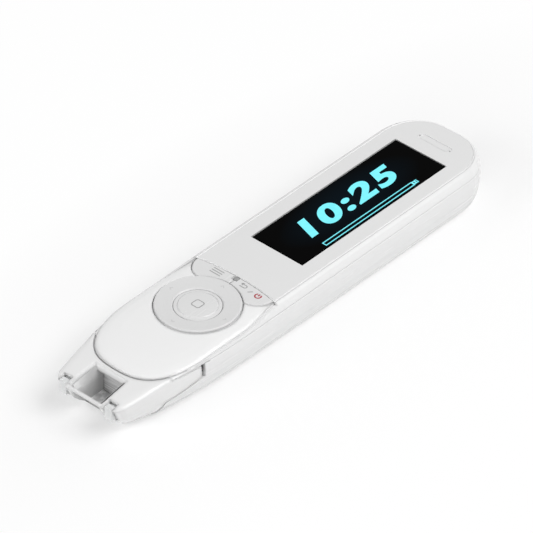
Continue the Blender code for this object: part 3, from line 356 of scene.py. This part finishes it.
class Finish(Shading):
    """A material and the nodes that make it."""

    def __init__(self, name):
        self.material = bpy.data.materials.new(name)
        self.material.use_nodes = True
        super().__init__(self.material.node_tree)
        self.shader = self.tree.nodes["Principled BSDF"]
        self.output = self.tree.nodes["Material Output"]
        self.place = self.node("ShaderNodeTexCoord", output="Object")

    def set(self, **values):
        """Feed the Principled shader's sockets, named with underscores for spaces."""
        for name, value in values.items():
            self.feed(self.shader.inputs[name.replace("_", " ")], value)

    def axis(self, name):
        """The place along one axis, in metres."""
        return self.node("ShaderNodeSeparateXYZ", None, {0: self.place}, name)

    def noise(self, scale, detail=2.0, stretch=(1.0, 1.0, 1.0)):
        """Noise over the object, from 0 to 1; scale is in cells per metre."""
        spread = self.node("ShaderNodeVectorMath", {"operation": "MULTIPLY"}, {0: self.place, 1: stretch})
        return self.node("ShaderNodeTexNoise", None, {"Vector": spread, "Scale": scale, "Detail": detail})

    def flow_marks(self):
        """Faint marks where the plastic flowed, mixed with handling haze, and that haze by itself."""
        flow, haze = self.noise(flow_cells, detail=3.0), self.noise(haze_cells, detail=4.0)
        return (flow * flow_share + haze * (1.0 - flow_share)).clamped(), haze

    def mix(self, share, first, second):
        """Colour between two colours."""
        return self.node("ShaderNodeMix", {"data_type": "RGBA"}, {0: share, 6: first, 7: second}, 2)

    def bump(self, height, depth, rounding=0.0):
        """Relief of a depth in micrometres; the shading also rounds the edges over a radius."""
        inputs = {"Height": height, "Distance": depth * MICRON}
        if rounding:
            inputs["Normal"] = self.node("ShaderNodeBevel", {"samples": bevel_samples},
                                         {"Radius": rounding * MM})
        return self.node("ShaderNodeBump", None, inputs)


def grey(value):
    """A colour without hue."""
    return (value, value, value)


def shade(colour, factor):
    """A colour made lighter or darker."""
    return tuple(min(c * factor, 1.0) for c in colour)


def moulded(name, colour, roughness, grain=4.0, coat=0.0, rounding=0.0, sheen=0.5):
    """Moulded plastic: faint flow marks, handling haze, hairline scratches and a fine moulded grain."""
    f = Finish(name)
    marks, haze = f.flow_marks()
    scratches = f.noise(hair_cells, detail=3.0, stretch=(1.0, 0.06, 1.0)).above(0.62, contrast=9.0)
    f.set(Base_Color=f.mix(marks, shade(colour, 1.0 - tint_spread), shade(colour, 1.0 + tint_spread)),
          Roughness=(roughness - 0.03 + haze * 0.06 + scratches * 0.05).clamped(),
          IOR=plastic_ior, Specular_IOR_Level=sheen, Coat_Weight=coat, Coat_Roughness=coat_roughness,
          Normal=f.bump(f.noise(grain_cells) + scratches * -0.4, grain, rounding))
    return f.material


def bright_metal():
    """Plated steel with fine brushing and worn, duller patches."""
    f = Finish("plated_metal")
    brushing = f.noise(brushing_cells, stretch=(1.0, 0.05, 1.0))
    patches = f.noise(wear_cells, detail=3.0)
    dull, bright = (0.58, 0.58, 0.60), (0.70, 0.70, 0.71)
    f.set(Base_Color=f.mix(patches, dull, bright), Metallic=1.0,
          Roughness=(0.22 + brushing * 0.12 + patches * 0.1).clamped(), Normal=f.bump(brushing, depth=3.0))
    return f.material


def foil():
    """Battery pouch: silver foil with soft creases."""
    f = Finish("battery_foil")
    creases = f.noise(crease_cells, detail=4.0)
    dull, bright = (0.50, 0.51, 0.53), (0.62, 0.63, 0.65)
    f.set(Base_Color=f.mix(creases, dull, bright), Metallic=0.5,
          Roughness=(0.28 + creases * 0.2).clamped(), Normal=f.bump(creases, depth=60.0))
    return f.material


def clear_plastic():
    """Clear moulded plastic with faint flow waves."""
    f = Finish("clear_plastic")
    waves = f.noise(wave_cells)
    cloudy, clear = (0.93, 0.94, 0.94), (0.98, 0.99, 0.99)
    f.set(Base_Color=f.mix(waves, cloudy, clear), Transmission_Weight=0.35, IOR=clear_ior,
          Roughness=(0.04 + waves * 0.08).clamped(), Normal=f.bump(waves, depth=20.0))
    return f.material


def nose_plastic():
    """The nose's white plastic, with painted shade that darkens it to the rear and down inside the scanning
    window.
    """
    f = Finish("nose_white")
    x, y, z = (f.axis(name) / MM for name in "XYZ")
    between_sides = ((window_half - abs(x)) * window_edge_contrast).clamped()
    behind_front = y.above(window_front, window_front_contrast)
    before_rear = ((window_rear - y) * window_edge_contrast).clamped()
    depth = ((window_top - z) / window_fade).clamped()
    rearward = ((y - window_front) / (window_rear - window_front)).clamped()
    deepening = window_front_dark + (1.0 - window_front_dark) * rearward
    # Painted shade: this mask turns the nose grey deep inside the scanning window, more so to the rear
    dark = between_sides * behind_front * before_rear * depth * deepening
    marks, haze = f.flow_marks()
    white = f.mix(marks, grey(0.735), grey(0.76))
    f.set(Base_Color=f.mix(dark, white, grey(0.30)), Roughness=(0.12 + haze * 0.05).clamped(),
          IOR=plastic_ior, Coat_Weight=0.5, Coat_Roughness=0.06,
          Normal=f.bump(f.noise(grain_cells), depth=3.0, rounding=nose_rounding))
    return f.material


def lined_pane():
    """The clear pane behind the window, painted dark grey for the shade behind it, with fine lines of painted
    light across it.
    """
    f = Finish("lined_pane")
    lines = f.noise(fine_line_cells, detail=1.0, stretch=(0.03, 1.0, 1.0))
    broad = f.noise(broad_line_cells, stretch=(0.1, 1.0, 1.0))
    bright = ((lines - 0.42) * 5.0 * broad).clamped()
    behind, light = grey(0.46), grey(0.97)
    f.set(Base_Color=f.mix(bright, behind, light), Roughness=(0.08 + lines * 0.1).clamped(),
          Normal=f.bump(lines, depth=20.0))
    return f.material


def streaked_shroud():
    """Grey walls of the scanning chamber, with long pale streaks where light slides down them."""
    f = Finish("scanning_chamber")
    streaks = f.noise(shroud_streak_cells, detail=3.0, stretch=(1.0, 1.0, 0.15))
    wall, streak = grey(0.55), grey(0.90)
    f.set(Base_Color=f.mix(streaks.above(0.5, contrast=5.0), wall, streak),
          Roughness=(0.2 + streaks * 0.2).clamped(), Normal=f.bump(streaks, depth=30.0))
    return f.material


def chamber_walls():
    """The window's side walls, with painted shade: white in front and above, grey to the rear and below, with
    pale streaks of painted light.
    """
    f = Finish("chamber_walls")
    y, z = (f.axis(name) / MM for name in "YZ")
    rearward = ((y - liner_light) / liner_fade).clamped()
    depth = ((liner_shade_top - z) / liner_shade_fade).clamped()
    streaks = f.noise(wall_streak_cells, detail=3.0, stretch=(1.0, 0.25, 1.0))
    # Painted shade to the rear and below, lifted where pale streaks of painted light run down the walls
    shadow = (rearward * 0.65 + depth * 0.6 - streaks.above(0.55, contrast=4.0) * depth * 0.5).clamped()
    pale, shaded = grey(0.70), grey(0.40)
    f.set(Base_Color=f.mix(shadow, pale, shaded), Roughness=(0.15 + streaks * 0.1).clamped(),
          Normal=f.bump(streaks, depth=10.0))
    return f.material


def screen_glass():
    """Black display glass with a faint blue glow round the lit characters and a little dust."""
    f = Finish("screen_black")
    dust = f.noise(dust_cells, detail=1.0).above(0.72, contrast=8.0)
    wipe = f.noise(wipe_cells, detail=3.0, stretch=(1.0, 0.3, 1.0))
    low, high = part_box("screen_glass")
    middle, half = (low + high) / 2, (high - low) / 2
    across, along = (f.axis("X") - middle.x) / half.x, (f.axis("Y") - middle.y) / half.y
    glow = (1.0 - across ** 2 * 0.8 - along ** 2 * 1.2).clamped()
    black, dusty, blue = grey(0.001), grey(0.03), (0.001, 0.005, 0.009)
    f.set(Base_Color=f.mix(dust * 0.3, black, dusty),
          Roughness=(0.05 + wipe * 0.06 + dust * 0.2).clamped(), Specular_IOR_Level=0.01,
          Emission_Color=f.mix(glow, grey(0.0), blue), Emission_Strength=1.0)
    return f.material


def lit_characters():
    """Lit characters of the display, a little uneven from place to place."""
    f = Finish("lit_cyan")
    uneven = f.noise(glow_cells)
    dim_cyan, full_cyan = (0.14, 0.80, 0.95), (0.20, 0.95, 1.0)
    f.set(Base_Color=grey(0.0), Roughness=0.3, Emission_Strength=1.0,
          Emission_Color=f.mix(uneven, dim_cyan, full_cyan))
    return f.material


finishes = {
    "casing": moulded("casing_white", grey(0.755), 0.26, rounding=casing_rounding, sheen=0.25),
    "cover": moulded("cover_gloss_white", grey(0.80), 0.11, grain=2.0, coat=0.5, rounding=cover_rounding),
    "panel": moulded("panel_gloss_white", grey(0.715), 0.18, grain=2.0),
    # Lips lighter than the plastic round them: a painted highlight on the panel's edge and painted light in
    # the shells' seam
    "lip": moulded("lip_white_painted_light", grey(0.88), 0.12, grain=1.0),
    "nose": nose_plastic(),
    "chamber": chamber_walls(),
    "shroud": streaked_shroud(),
    "pane": lined_pane(),
    "key": moulded("key_white", grey(0.685), 0.26),
    "ring": moulded("ring_white", grey(0.665), 0.32),
    "frame": moulded("frame_grey", (0.35, 0.35, 0.36), 0.5, grain=10.0),
    "black": moulded("black_plastic", grey(0.03), 0.4, grain=10.0),
    "ribbon": moulded("ribbon_amber", (0.55, 0.28, 0.06), 0.4),
    "rubber": moulded("grey_rubber", grey(0.45), 0.7, grain=10.0),
    "board": moulded("board_green", (0.03, 0.16, 0.07), 0.45),
    "light": moulded("smoked_light", (0.16, 0.16, 0.165), 0.2),
    "status": moulded("status_light_grey", grey(0.30), 0.35),
    "metal": bright_metal(),
    "battery": foil(),
    "clear": clear_plastic(),
    "screen": screen_glass(),
    "display": moulded("display_black", grey(0.02), 0.3),
    "lit": lit_characters(),
    # print_grey serves the printed marks and also the painted shade of the speaker slot's end holes
    "print_grey": moulded("print_grey", grey(0.30), 0.4),
    "print_faint": moulded("print_faint", grey(0.56), 0.4),
    "print_red": moulded("print_red", (0.36, 0.02, 0.035), 0.4),
}
own_finish = {"optics_shroud": "shroud", "scan_pane": "pane", "status_light": "status"}

for entry in frame["record"]["subparts"]:
    mesh = nodes[entry["node"]].data
    mesh.materials.clear()
    mesh.materials.append(finishes[own_finish.get(entry["node"], entry["material_slot"])])


# Shapes, in millimetres
def extent(node):
    """Lowest and highest corner of a CAD node."""
    return tuple(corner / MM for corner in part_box(node))


def mesh_of(node):
    """A working copy of a CAD node's mesh."""
    work = bmesh.new()
    work.from_mesh(nodes[node].data)
    return work


def surface(node, way=-1):
    """A function from a place to the height of a CAD node's upper side (way -1) or underside (way 1)."""
    work = mesh_of(node)
    tree = BVHTree.FromBMesh(work)
    work.free()

    def height(place):
        found = tree.ray_cast(Vector((place.x, place.y, -way * sky)) * MM, Vector((0, 0, way)))[0]
        return None if found is None else found.z / MM

    return height


def hull(places):
    """The convex outline of places in plan, counter-clockwise."""
    return turned_way([Vector(places[i]) for i in convex_hull_2d(places)])


def outline(node, lowest=0.0):
    """The convex outline in plan of what a CAD node has above a height."""
    work = mesh_of(node)
    loop = hull([v.co.xy / MM for v in work.verts if v.co.z / MM > lowest])
    work.free()
    return loop


def level_cut(node, height):
    """Chains of places where a level plane cuts a CAD node, the longest chain first."""
    work = mesh_of(node)
    bmesh.ops.remove_doubles(work, verts=work.verts, dist=weld * MM)
    everything = work.verts[:] + work.edges[:] + work.faces[:]
    bmesh.ops.bisect_plane(work, geom=everything, plane_co=(0, 0, height * MM), plane_no=(0, 0, 1),
                           clear_inner=True, clear_outer=True)
    bmesh.ops.dissolve_limit(work, angle_limit=math.radians(straight_angle), verts=work.verts,
                             edges=work.edges)
    chains, seen = [], set()
    for start in work.verts:
        chain, here = [], start
        while here is not None and here not in seen:
            seen.add(here)
            chain.append(here.co.xy / MM)
            neighbours = (edge.other_vert(here) for edge in here.link_edges)
            here = next((vertex for vertex in neighbours if vertex not in seen), None)
        chains.append(chain)
    work.free()
    return sorted(chains, key=lambda chain: -girth(chain))


def girth(chain):
    """Length along a chain."""
    return sum((a - b).length for a, b in zip(chain, chain[1:]))


def turned_way(chain):
    """The chain, counter-clockwise."""
    area = sum(a.cross(b) for a, b in zip(chain, chain[1:] + chain[:1]))
    return chain if area > 0 else chain[::-1]


def side_vectors(points, closed):
    """For each point of a line, the vector to its right that keeps the line's width round bends."""
    before = points[-1:] if closed else [points[0] * 2 - points[1]]
    after = points[:1] if closed else [points[-1] * 2 - points[-2]]
    sides = []
    for a, here, b in zip(before + points[:-1], points, points[1:] + after):
        into, out = (here - a).normalized(), (b - here).normalized()
        way = (into + out).normalized()
        sides.append(Vector((way.y, -way.x)) / max(way.dot(into), sharpest_mitre))
    return sides


def moved_out(loop, distance, closed=True):
    """A counter-clockwise loop moved outward by a distance, which may depend on the place."""
    return [p + side * value_at(distance, p) for p, side in zip(loop, side_vectors(loop, closed))]


def spaced(chain, apart):
    """The chain without points that lie closer than a distance to the one before."""
    kept = chain[:1]
    for place in chain[1:]:
        if (place - kept[-1]).length > apart:
            kept.append(place)
    return kept


def value_at(value, place):
    """A number as it is, or what a function gives at a place."""
    return value(place) if callable(value) else value


def loft(rings, closed):
    """Vertices and faces through rings of equal count, closed on itself or capped at both ends."""
    count, size = len(rings), len(rings[0])
    vertices = [point for ring in rings for point in ring]
    faces = [(k * size + i, k * size + (i + 1) % size, (k + 1) % count * size + (i + 1) % size,
              (k + 1) % count * size + i)
             for k in range(count if closed else count - 1) for i in range(size)]
    if not closed:
        faces += [tuple(range(size)), tuple(range((count - 1) * size, count * size))]
    return vertices, faces


def strip(left, right, low, high, closed=False):
    """A thin solid between two edges in plan; its heights are numbers or depend on the place."""
    return loft([[(a.x, a.y, value_at(low, a)), (a.x, a.y, value_at(high, a)),
                  (b.x, b.y, value_at(high, b)), (b.x, b.y, value_at(low, b))]
                 for a, b in zip(left, right)], closed)


def stroke(points, width, closed=False):
    """Both edges of a line of one width."""
    points = [Vector(point) for point in points]
    sides = side_vectors(points, closed)
    return ([p - side * width / 2 for p, side in zip(points, sides)],
            [p + side * width / 2 for p, side in zip(points, sides)])


def arc(centre, radius, start, end, steps=arc_steps):
    """Points of an arc; angles in degrees."""
    turns = [math.radians(start + (end - start) * i / steps) for i in range(steps + 1)]
    return [(centre[0] + radius * math.cos(t), centre[1] + radius * math.sin(t)) for t in turns]


def circle(centre, radius, steps=turn_steps):
    """Places round a full circle, counter-clockwise."""
    return [Vector(p) for p in arc(centre, radius, 0, 360, steps)[:-1]]


def between(start, end, share):
    """The value at a share of the way between two."""
    return start + (end - start) * share


def smooth_share(share):
    """A share from 0 to 1 that starts and ends softly."""
    share = min(max(share, 0.0), 1.0)
    return share * share * (3 - 2 * share)


def piece(name, solids, finish, body="pen_body"):
    """One object of the scene, from solids in millimetres, that moves with a CAD body."""
    vertices, faces = [], []
    for points, sides in solids:
        start = len(vertices)
        vertices += [Vector(point) * MM for point in points]
        faces += [tuple(start + i for i in side) for side in sides]
    mesh = bpy.data.meshes.new(name)
    mesh.from_pydata(vertices, [], faces)
    shown(name, mesh, finish, body)


def shown(name, mesh, finish, body):
    """The object of a mesh, welded and smoothed, with its finish, slot and body."""
    work = bmesh.new()
    work.from_mesh(mesh)
    bmesh.ops.remove_doubles(work, verts=work.verts, dist=weld * MM)
    bmesh.ops.recalc_face_normals(work, faces=work.faces)
    work.to_mesh(mesh)
    work.free()
    mesh.shade_smooth()
    mesh.set_sharp_from_angle(angle=math.radians(smooth_angle))
    mesh.materials.clear()
    mesh.materials.append(finishes[finish])
    made = bpy.data.objects.new(name, mesh)
    bpy.context.scene.collection.objects.link(made)
    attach(made, body)


def printed(name, node, body, lines, finish):
    """Marks printed on a CAD node; each line is its points, its width and whether it closes."""
    height = surface(node)
    solids = [strip(*stroke(points, width, closed), lambda p: height(p) - ink, lambda p: height(p) + ink,
                    closed) for points, width, closed in lines]
    piece(name, solids, finish, body)


# Seams and skirts
ring_low, ring_high = extent("nav_ring")
ring_centre = (ring_low.xy + ring_high.xy) / 2
panel_high = extent("display_panel")[1]
select_low, select_high = extent("select_key")
plane = panel_high.z


def panel_seam():
    """A light lip round the display panel, a little below its face; its bead catches the lamps, its light
    colour is a painted highlight.
    """
    loop = turned_way(level_cut("display_panel", plane - seam_depth * 2)[0])

    def reach(place):
        beside_keys = place.y < 0 and abs(place.x) < panel_high.x - seam_depth
        return key_skirt_width if beside_keys else panel_seam_width

    foot, top = plane - seam_height, plane - lip_height - panel_lip_depth
    rings = []
    for p, q in zip(moved_out(loop, -ink), moved_out(loop, reach)):
        half = (q - p) / 2
        bead = [(p + half - half * math.cos(turn), lip_height * math.sin(turn))
                for turn in (math.radians(180 * i / bead_steps) for i in range(bead_steps + 1))]
        rings.append([(p.x, p.y, foot)] + [(place.x, place.y, top + rise) for place, rise in bead] +
                     [(q.x, q.y, foot)])
    piece("panel_lip", [loft(rings, True)], "lip")


def key_skirts():
    """A light lip round each arched key, none beside the ring, and one round the ring itself."""
    ring_radius = ring_radius_at_top()

    def reach(place):
        return 0.0 if (place - ring_centre).length < ring_radius + panel_seam_width * 2 else key_skirt_width

    for node in ("menu_key", "return_key"):
        loop = turned_way(level_cut(node, plane - seam_depth * 2)[0])
        piece(f"{node}_lip", [strip(moved_out(loop, -ink), moved_out(loop, reach),
                                    plane - seam_depth - seam_height, plane - seam_depth, True)],
              "key", node)
    top = plane + ring_skirt_rise
    edges = (circle(ring_centre, ring_radius + extra) for extra in (-ink, ring_skirt_width))
    piece("nav_ring_lip", [strip(*edges, top - seam_height, top, True)], "ring", "nav_ring")


def ring_radius_at_top():
    """Radius of the ring where it meets the display's plane."""
    loop = level_cut("nav_ring", plane)[0]
    return max((place - ring_centre).length for place in loop)


def select_collar():
    """The select key's flared foot, which fills most of the groove inside the ring."""
    inner = (select_high.x - select_low.x) / 2
    bore = min((place - ring_centre).length for chain in level_cut("nav_ring", plane) for place in chain)
    outer = bore - collar_gap
    top = plane - collar_drop
    foot = top - collar_height
    rings = (circle(ring_centre, radius) for radius in (inner - ink, outer))
    solid = loft([[(a.x, a.y, foot), (a.x, a.y, top), (b.x, b.y, top - collar_fall), (b.x, b.y, foot)]
                  for a, b in zip(*rings)], True)
    piece("select_key_collar", [solid], "key", "select_key")


def speaker_surround():
    """The pale floor of the speaker slot round its bar, with a small grey disc of painted shade for the hole
    at each end.
    """
    low, high = extent("speaker_slot_bar")
    loop = turned_way(level_cut("speaker_slot_bar", high.z - bar_edge)[0])
    slot_low, slot_high = extent("speaker_mesh")
    end_reach = (slot_high.x - slot_low.x) / 2 - (high.x - low.x) / 2 - mesh_margin

    def reach(place):
        return between(slot_side_gap, end_reach, smooth_share((abs(place.x) - slot_straight) / slot_blend))

    top = high.z - slot_floor_drop
    slot_floor = strip(moved_out(loop, -ink), moved_out(loop, reach), top - seam_height, top, True)
    piece("speaker_surround", [slot_floor], "casing")
    middle = (low + high) / 2
    # Painted shade: a grey disc flush with the slot's floor stands for the dark inside each hole
    dots = []
    for side in (-1, 1):
        centre = Vector((side * (high.x + end_reach / 2), middle.y))
        rings = [[(p.x, p.y, z) for p in circle(centre, dot_radius, dot_steps)]
                 for z in (top - ink, top + ink)]
        dots.append(loft(rings, False))
    piece("speaker_hole_shade_discs", dots, "print_grey")


def cover_seal():
    """The light seal under both long edges of the front cover."""
    under = surface("front_cover", 1)
    loop = outline("front_cover")
    solids = []
    for side in (-1, 1):
        outer, inner = [], []
        for step in range(seal_steps + 1):
            y = between(seal_front, seal_rear, step / seal_steps)
            reach = half_width_at(loop, y)
            edge = last_hit(under, reach - seal_width / 2, reach, y)
            outer.append(Vector((side * (edge - seal_inset), y)))
            inner.append(Vector((side * (edge - seal_width), y)))
        heights = {p.y: under(Vector((side * (abs(p.x) - seal_width / 3), p.y))) for p in outer}
        solids.append(strip(outer, inner, lambda p: heights[p.y] - 2 * seam_height,
                            lambda p: heights[p.y] + seal_rise))
    piece("cover_seal", solids, "cover")


def last_hit(height, start, end, y):
    """How far a surface reaches across the pen, between two places."""
    for _ in range(halvings):
        middle = (start + end) / 2
        if height(Vector((middle, y))) is None:
            end = middle
        else:
            start = middle
    return start


def parting_line():
    """Lip in the casing shells' seam, from one arm slot round the tail to the other; its light colour is
    painted light.
    """
    seam = extent("lower_shell")[1].z
    loop = outline("lower_shell", seam - seam_depth)
    first = next(i for i, p in enumerate(loop) if loop[i - 1].y <= parting_front < p.y)
    run = spaced([p for p in loop[first:] + loop[:first] if p.y > parting_front], parting_spacing)
    piece("parting_lip", [strip(moved_out(run, -parting_inset, False),
                                moved_out(run, -parting_inset - parting_width, False),
                                seam - ink, seam + seam_gap + ink)], "lip")


def shoulders():
    """The nose's shoulder under each side of the cover, from its deck back to the arm's end."""
    outlines = [outline("front_cover"), outline("nose_housing", shoulder_low - shoulder_outline_drop)]
    under = surface("front_cover", 1)
    rings = []
    for step in range(shoulder_steps + 1):
        along = step / shoulder_steps
        y = between(shoulder_front, shoulder_rear, along)
        cover_x, outer = (half_width_at(loop, y) for loop in outlines)
        inner = cover_x - shoulder_tuck
        top = min(between(shoulder_front_top, shoulder_rear_top, along), under(Vector((inner, y))) - ink)
        flat_end = between(cover_x, outer, shoulder_flat_share)
        turns = [math.pi / 2 * turn / shoulder_round_steps for turn in range(shoulder_round_steps + 1)]
        rounding = [(between(flat_end, outer - ink, math.sin(turn)), y,
                     between(shoulder_edge, top, math.cos(turn))) for turn in turns]
        rings.append([(inner, y, shoulder_low), (inner, y, top)] + rounding +
                     [(outer - ink, y, shoulder_low)])
    mirrored = [[(-x, y, z) for x, y, z in ring] for ring in rings]
    piece("nose_shoulders", [loft(rings, False), loft(mirrored, False)], "nose")


def chamber_liner():
    """Thin side walls of the scanning window, leaning in to the chamber; their front follows the mouth."""
    front = [(liner_top_half, liner_front, liner_front_top), (liner_half, liner_front, liner_front_knee),
             (liner_half, liner_front_foot, liner_low)]
    rear = [(liner_top_half, liner_rear, liner_rear_top), (liner_half, liner_rear_foot, liner_rear_knee),
            (liner_half, liner_rear_foot, liner_low)]
    rings = []
    for step in range(liner_steps + 1):
        inner = [Vector(a).lerp(Vector(b), step / liner_steps) for a, b in zip(front, rear)]
        rings.append([tuple(p) for p in inner] + [(p.x + liner_wall, p.y, p.z) for p in inner[::-1]])
    solids = [loft([[(side * x, y, z) for x, y, z in ring] for ring in rings], False) for side in (-1, 1)]
    piece("chamber_liner", solids, "chamber")


def half_width_at(loop, y):
    """Half the width of an outline where a line across it meets its right side."""
    for a, b in zip(loop, loop[1:] + loop[:1]):
        if a.x > 0 and b.x > 0 and min(a.y, b.y) <= y <= max(a.y, b.y) and a.y != b.y:
            return between(a.x, b.x, (y - a.y) / (b.y - a.y))


def latch_hooks():
    """The small dark latch in the slot behind each arm."""
    corner = extent("nose_housing")[1]
    front, outer = corner.y + hook_gap, corner.x - hook_inset
    solids = []
    for side in (-1, 1):
        left, right = ([Vector((side * x, y)) for y in (front, front + hook_length)]
                       for x in (outer - hook_width, outer))
        solids.append(strip(left, right, hook_low, hook_high))
    piece("latch_hooks", solids, "black")


# Display picture and marks on the keys
def display_figures():
    """Large figures along the display, their tops to the left."""
    low, high = extent("screen_glass")
    curve = bpy.data.curves.new("display_figures", "FONT")
    curve.body = clock_text
    curve.offset = clock_weight
    curve.shear = clock_slant
    curve.space_character = clock_spacing
    curve.extrude = 1.0
    holder = bpy.data.objects.new("display_figures_outline", curve)
    bpy.context.scene.collection.objects.link(holder)
    mesh = bpy.data.meshes.new_from_object(holder.evaluated_get(bpy.context.evaluated_depsgraph_get()))
    bpy.data.objects.remove(holder)
    places = [v.co.copy() for v in mesh.vertices]
    start, end = (Vector(pick(p[i] for p in places) for i in range(3)) for pick in (min, max))
    left, right = low.x + clock_left, high.x - clock_right
    front, rear = low.y + clock_front, high.y - clock_rear
    for vertex, p in zip(mesh.vertices, places):
        share = [(p[i] - start[i]) / (end[i] - start[i]) for i in range(3)]
        vertex.co = Vector((right + (left - right) * share[1], front + (rear - front) * share[0],
                            plane + (share[2] * 2 - 1) * ink)) * MM
    shown("display_figures", mesh, "lit", "pen_body")


def progress_bar():
    """A progress bar beside the figures, with two dark notches in its cap."""
    low, high = extent("screen_glass")
    x1 = high.x - bar_margin
    x0 = x1 - bar_width
    y0, y1 = low.y + bar_front, high.y - bar_rear
    border = [(x0, y0), (x1, y0), (x1, y1), (x0, y1)]
    cap = [(x0, y1 + bar_cap / 2), (x1, y1 + bar_cap / 2)]
    printed("display_progress_bar", "screen_glass", "pen_body",
            [(border, bar_line, True), (cap, bar_cap - bar_line, False)], "lit")
    height = surface("screen_glass")
    notches = []
    for y in (y1 + bar_cap / 2 - notch_pitch, y1 + bar_cap / 2 + notch_pitch):
        line = stroke([(x0 + bar_line, y), (x1 - bar_line, y)], bar_line)
        notches.append(strip(*line, height, lambda p: height(p) + ink * 2))
    piece("display_bar_notches", notches, "display")


def menu_mark():
    """Three bars on the menu key."""
    high = extent("menu_key")[1]
    x, y = high.x - menu_mark_in, high.y - menu_mark_back
    half = menu_mark_width / 2
    bars = [([(x - half, y + row * menu_mark_pitch), (x + half, y + row * menu_mark_pitch)], mark_line, False)
            for row in (-1, 0, 1)]
    printed("menu_mark", "menu_key", "menu_key", bars, "print_grey")


def back_mark():
    """A back arrow on the return key, and a slanting stroke beside it."""
    low, high = extent("return_key")
    x, y = low.x + back_mark_in, high.y - back_mark_back
    r = back_mark_radius
    hook = [(x, y + r)] + arc((x + back_mark_length, y), r, 90, -90) + [(x, y - r)]
    head = [(x + r, y + 2 * r), (x, y + r), (x + r, y)]
    x, y = low.x + stroke_mark_in, high.y - stroke_mark_back
    slant = [(x, y), (x + stroke_mark_run, y + stroke_mark_run)]
    lines = [(line, mark_line, False) for line in (hook, head, slant)]
    printed("back_mark", "return_key", "return_key", lines, "print_grey")


def power_mark():
    """A power sign on the return key."""
    low, high = extent("return_key")
    x, y = low.x + power_mark_in, high.y - power_mark_back
    r = power_mark_radius
    broken_ring = arc((x, y), r, 90 + power_mark_opening, 450 - power_mark_opening)
    stem = [(x, y), (x, y + r)]
    lines = [(line, power_line, False) for line in (broken_ring, stem)]
    printed("power_mark", "return_key", "return_key", lines, "print_red")


def select_mark():
    """A rounded square on the select key."""
    x, y = ring_centre
    r = select_mark_corner
    reach = select_mark_side / 2 - r
    square = []
    for quarter, (sx, sy) in enumerate(((1, 1), (-1, 1), (-1, -1), (1, -1))):
        square += arc((x + sx * reach, y + sy * reach), r, 90 * quarter, 90 * (quarter + 1), arc_steps // 3)
    printed("select_mark", "select_key", "select_key", [(square, mark_line, True)], "print_grey")


def ring_arrows():
    """Four arrowheads on the ring, which point away from its middle."""
    tip_radius = ring_radius_at_top() * arrow_circle_share + arrow_size / 2
    heads = []
    for quarter in range(4):
        turn = math.pi / 2 * quarter
        out = Vector((math.cos(turn), math.sin(turn)))
        across = Vector((-out.y, out.x)) * arrow_size
        tip = ring_centre + out * tip_radius
        wing = tip - out * arrow_size
        heads.append(([wing + across, tip, wing - across], mark_line, False))
    printed("ring_arrows", "nav_ring", "nav_ring", heads, "print_faint")


panel_seam()
key_skirts()
select_collar()
speaker_surround()
cover_seal()
parting_line()
shoulders()
chamber_liner()
latch_hooks()
display_figures()
progress_bar()
menu_mark()
back_mark()
power_mark()
select_mark()
ring_arrows()


# Studio
def area_light(name, place, size, power):
    """A soft rectangular lamp that faces the pen."""
    lamp = bpy.data.lights.new(name, "AREA")
    lamp.shape, lamp.size, lamp.size_y, lamp.energy = "RECTANGLE", size[0], size[1], power
    holder = bpy.data.objects.new(name, lamp)
    holder.location = place
    holder.rotation_euler = (-Vector(place)).to_track_quat("-Z", "Y").to_euler()
    bpy.context.scene.collection.objects.link(holder)


def studio():
    """Plain pale surroundings, the lamps and the floor, which turns to plain white away from the pen."""
    world = bpy.data.worlds.new("studio")
    bpy.context.scene.world = world
    world.use_nodes = True
    surroundings = Shading(world.node_tree)
    background = world.node_tree.nodes["Background"]
    surroundings.feed(background.inputs["Color"], grey(1.0))
    surroundings.feed(background.inputs["Strength"],
                      surroundings.seen_directly() * (1.0 - room_light) + room_light)
    for name, (place, size, power) in lamps.items():
        area_light(name, place, size, power)

    floor = bpy.data.meshes.new("floor")
    corners = [(x * floor_reach, y * floor_reach, 0) for x, y in ((-1, -1), (1, -1), (1, 1), (-1, 1))]
    floor.from_pydata(corners, [], [(0, 1, 2, 3)])
    holder = bpy.data.objects.new("floor", floor)
    bpy.context.scene.collection.objects.link(holder)
    f = Finish("floor_white")
    cloud = f.noise(floor_cells)
    f.set(Base_Color=f.mix(cloud, grey(0.91), grey(0.93)), Roughness=0.8, Specular_IOR_Level=0.1)
    glow = f.node("ShaderNodeEmission", None, {"Color": (1.0, 1.0, 1.0), "Strength": 1.0})
    x, y = (f.axis(name) / MM for name in "XY")
    away = (((x / clear_across) ** 2 + (y / clear_along) ** 2) ** 0.5 - 1.0).clamped()
    share = away * (floor_glow_far - floor_glow_near) + floor_glow_near
    lit = Flow(f.tree, f.shader.outputs[0])
    f.feed(f.output.inputs["Surface"],
           f.node("ShaderNodeMixShader", None, {0: f.seen_directly() * share, 1: lit, 2: glow}))
    floor.materials.append(f.material)


def camera():
    """The camera at the photograph's viewing angle."""
    azimuth, elevation = math.radians(camera_azimuth), math.radians(camera_elevation)
    back = Vector((math.sin(azimuth) * math.cos(elevation), -math.cos(azimuth) * math.cos(elevation),
                   math.sin(elevation)))
    lens = bpy.data.cameras.new("camera")
    lens.sensor_width = film_width
    lens.lens = film_width * pixels_per_millimetre / MM * camera_distance / image_size
    lens.clip_start, lens.clip_end = camera_clip
    holder = bpy.data.objects.new("camera", lens)
    holder.location = Vector(camera_target) * MM + back * camera_distance
    holder.rotation_euler = (-back).to_track_quat("-Z", "Y").to_euler()
    bpy.context.scene.collection.objects.link(holder)
    bpy.context.scene.camera = holder


studio()
camera()
bpy.context.scene.view_settings.view_transform = "Standard"
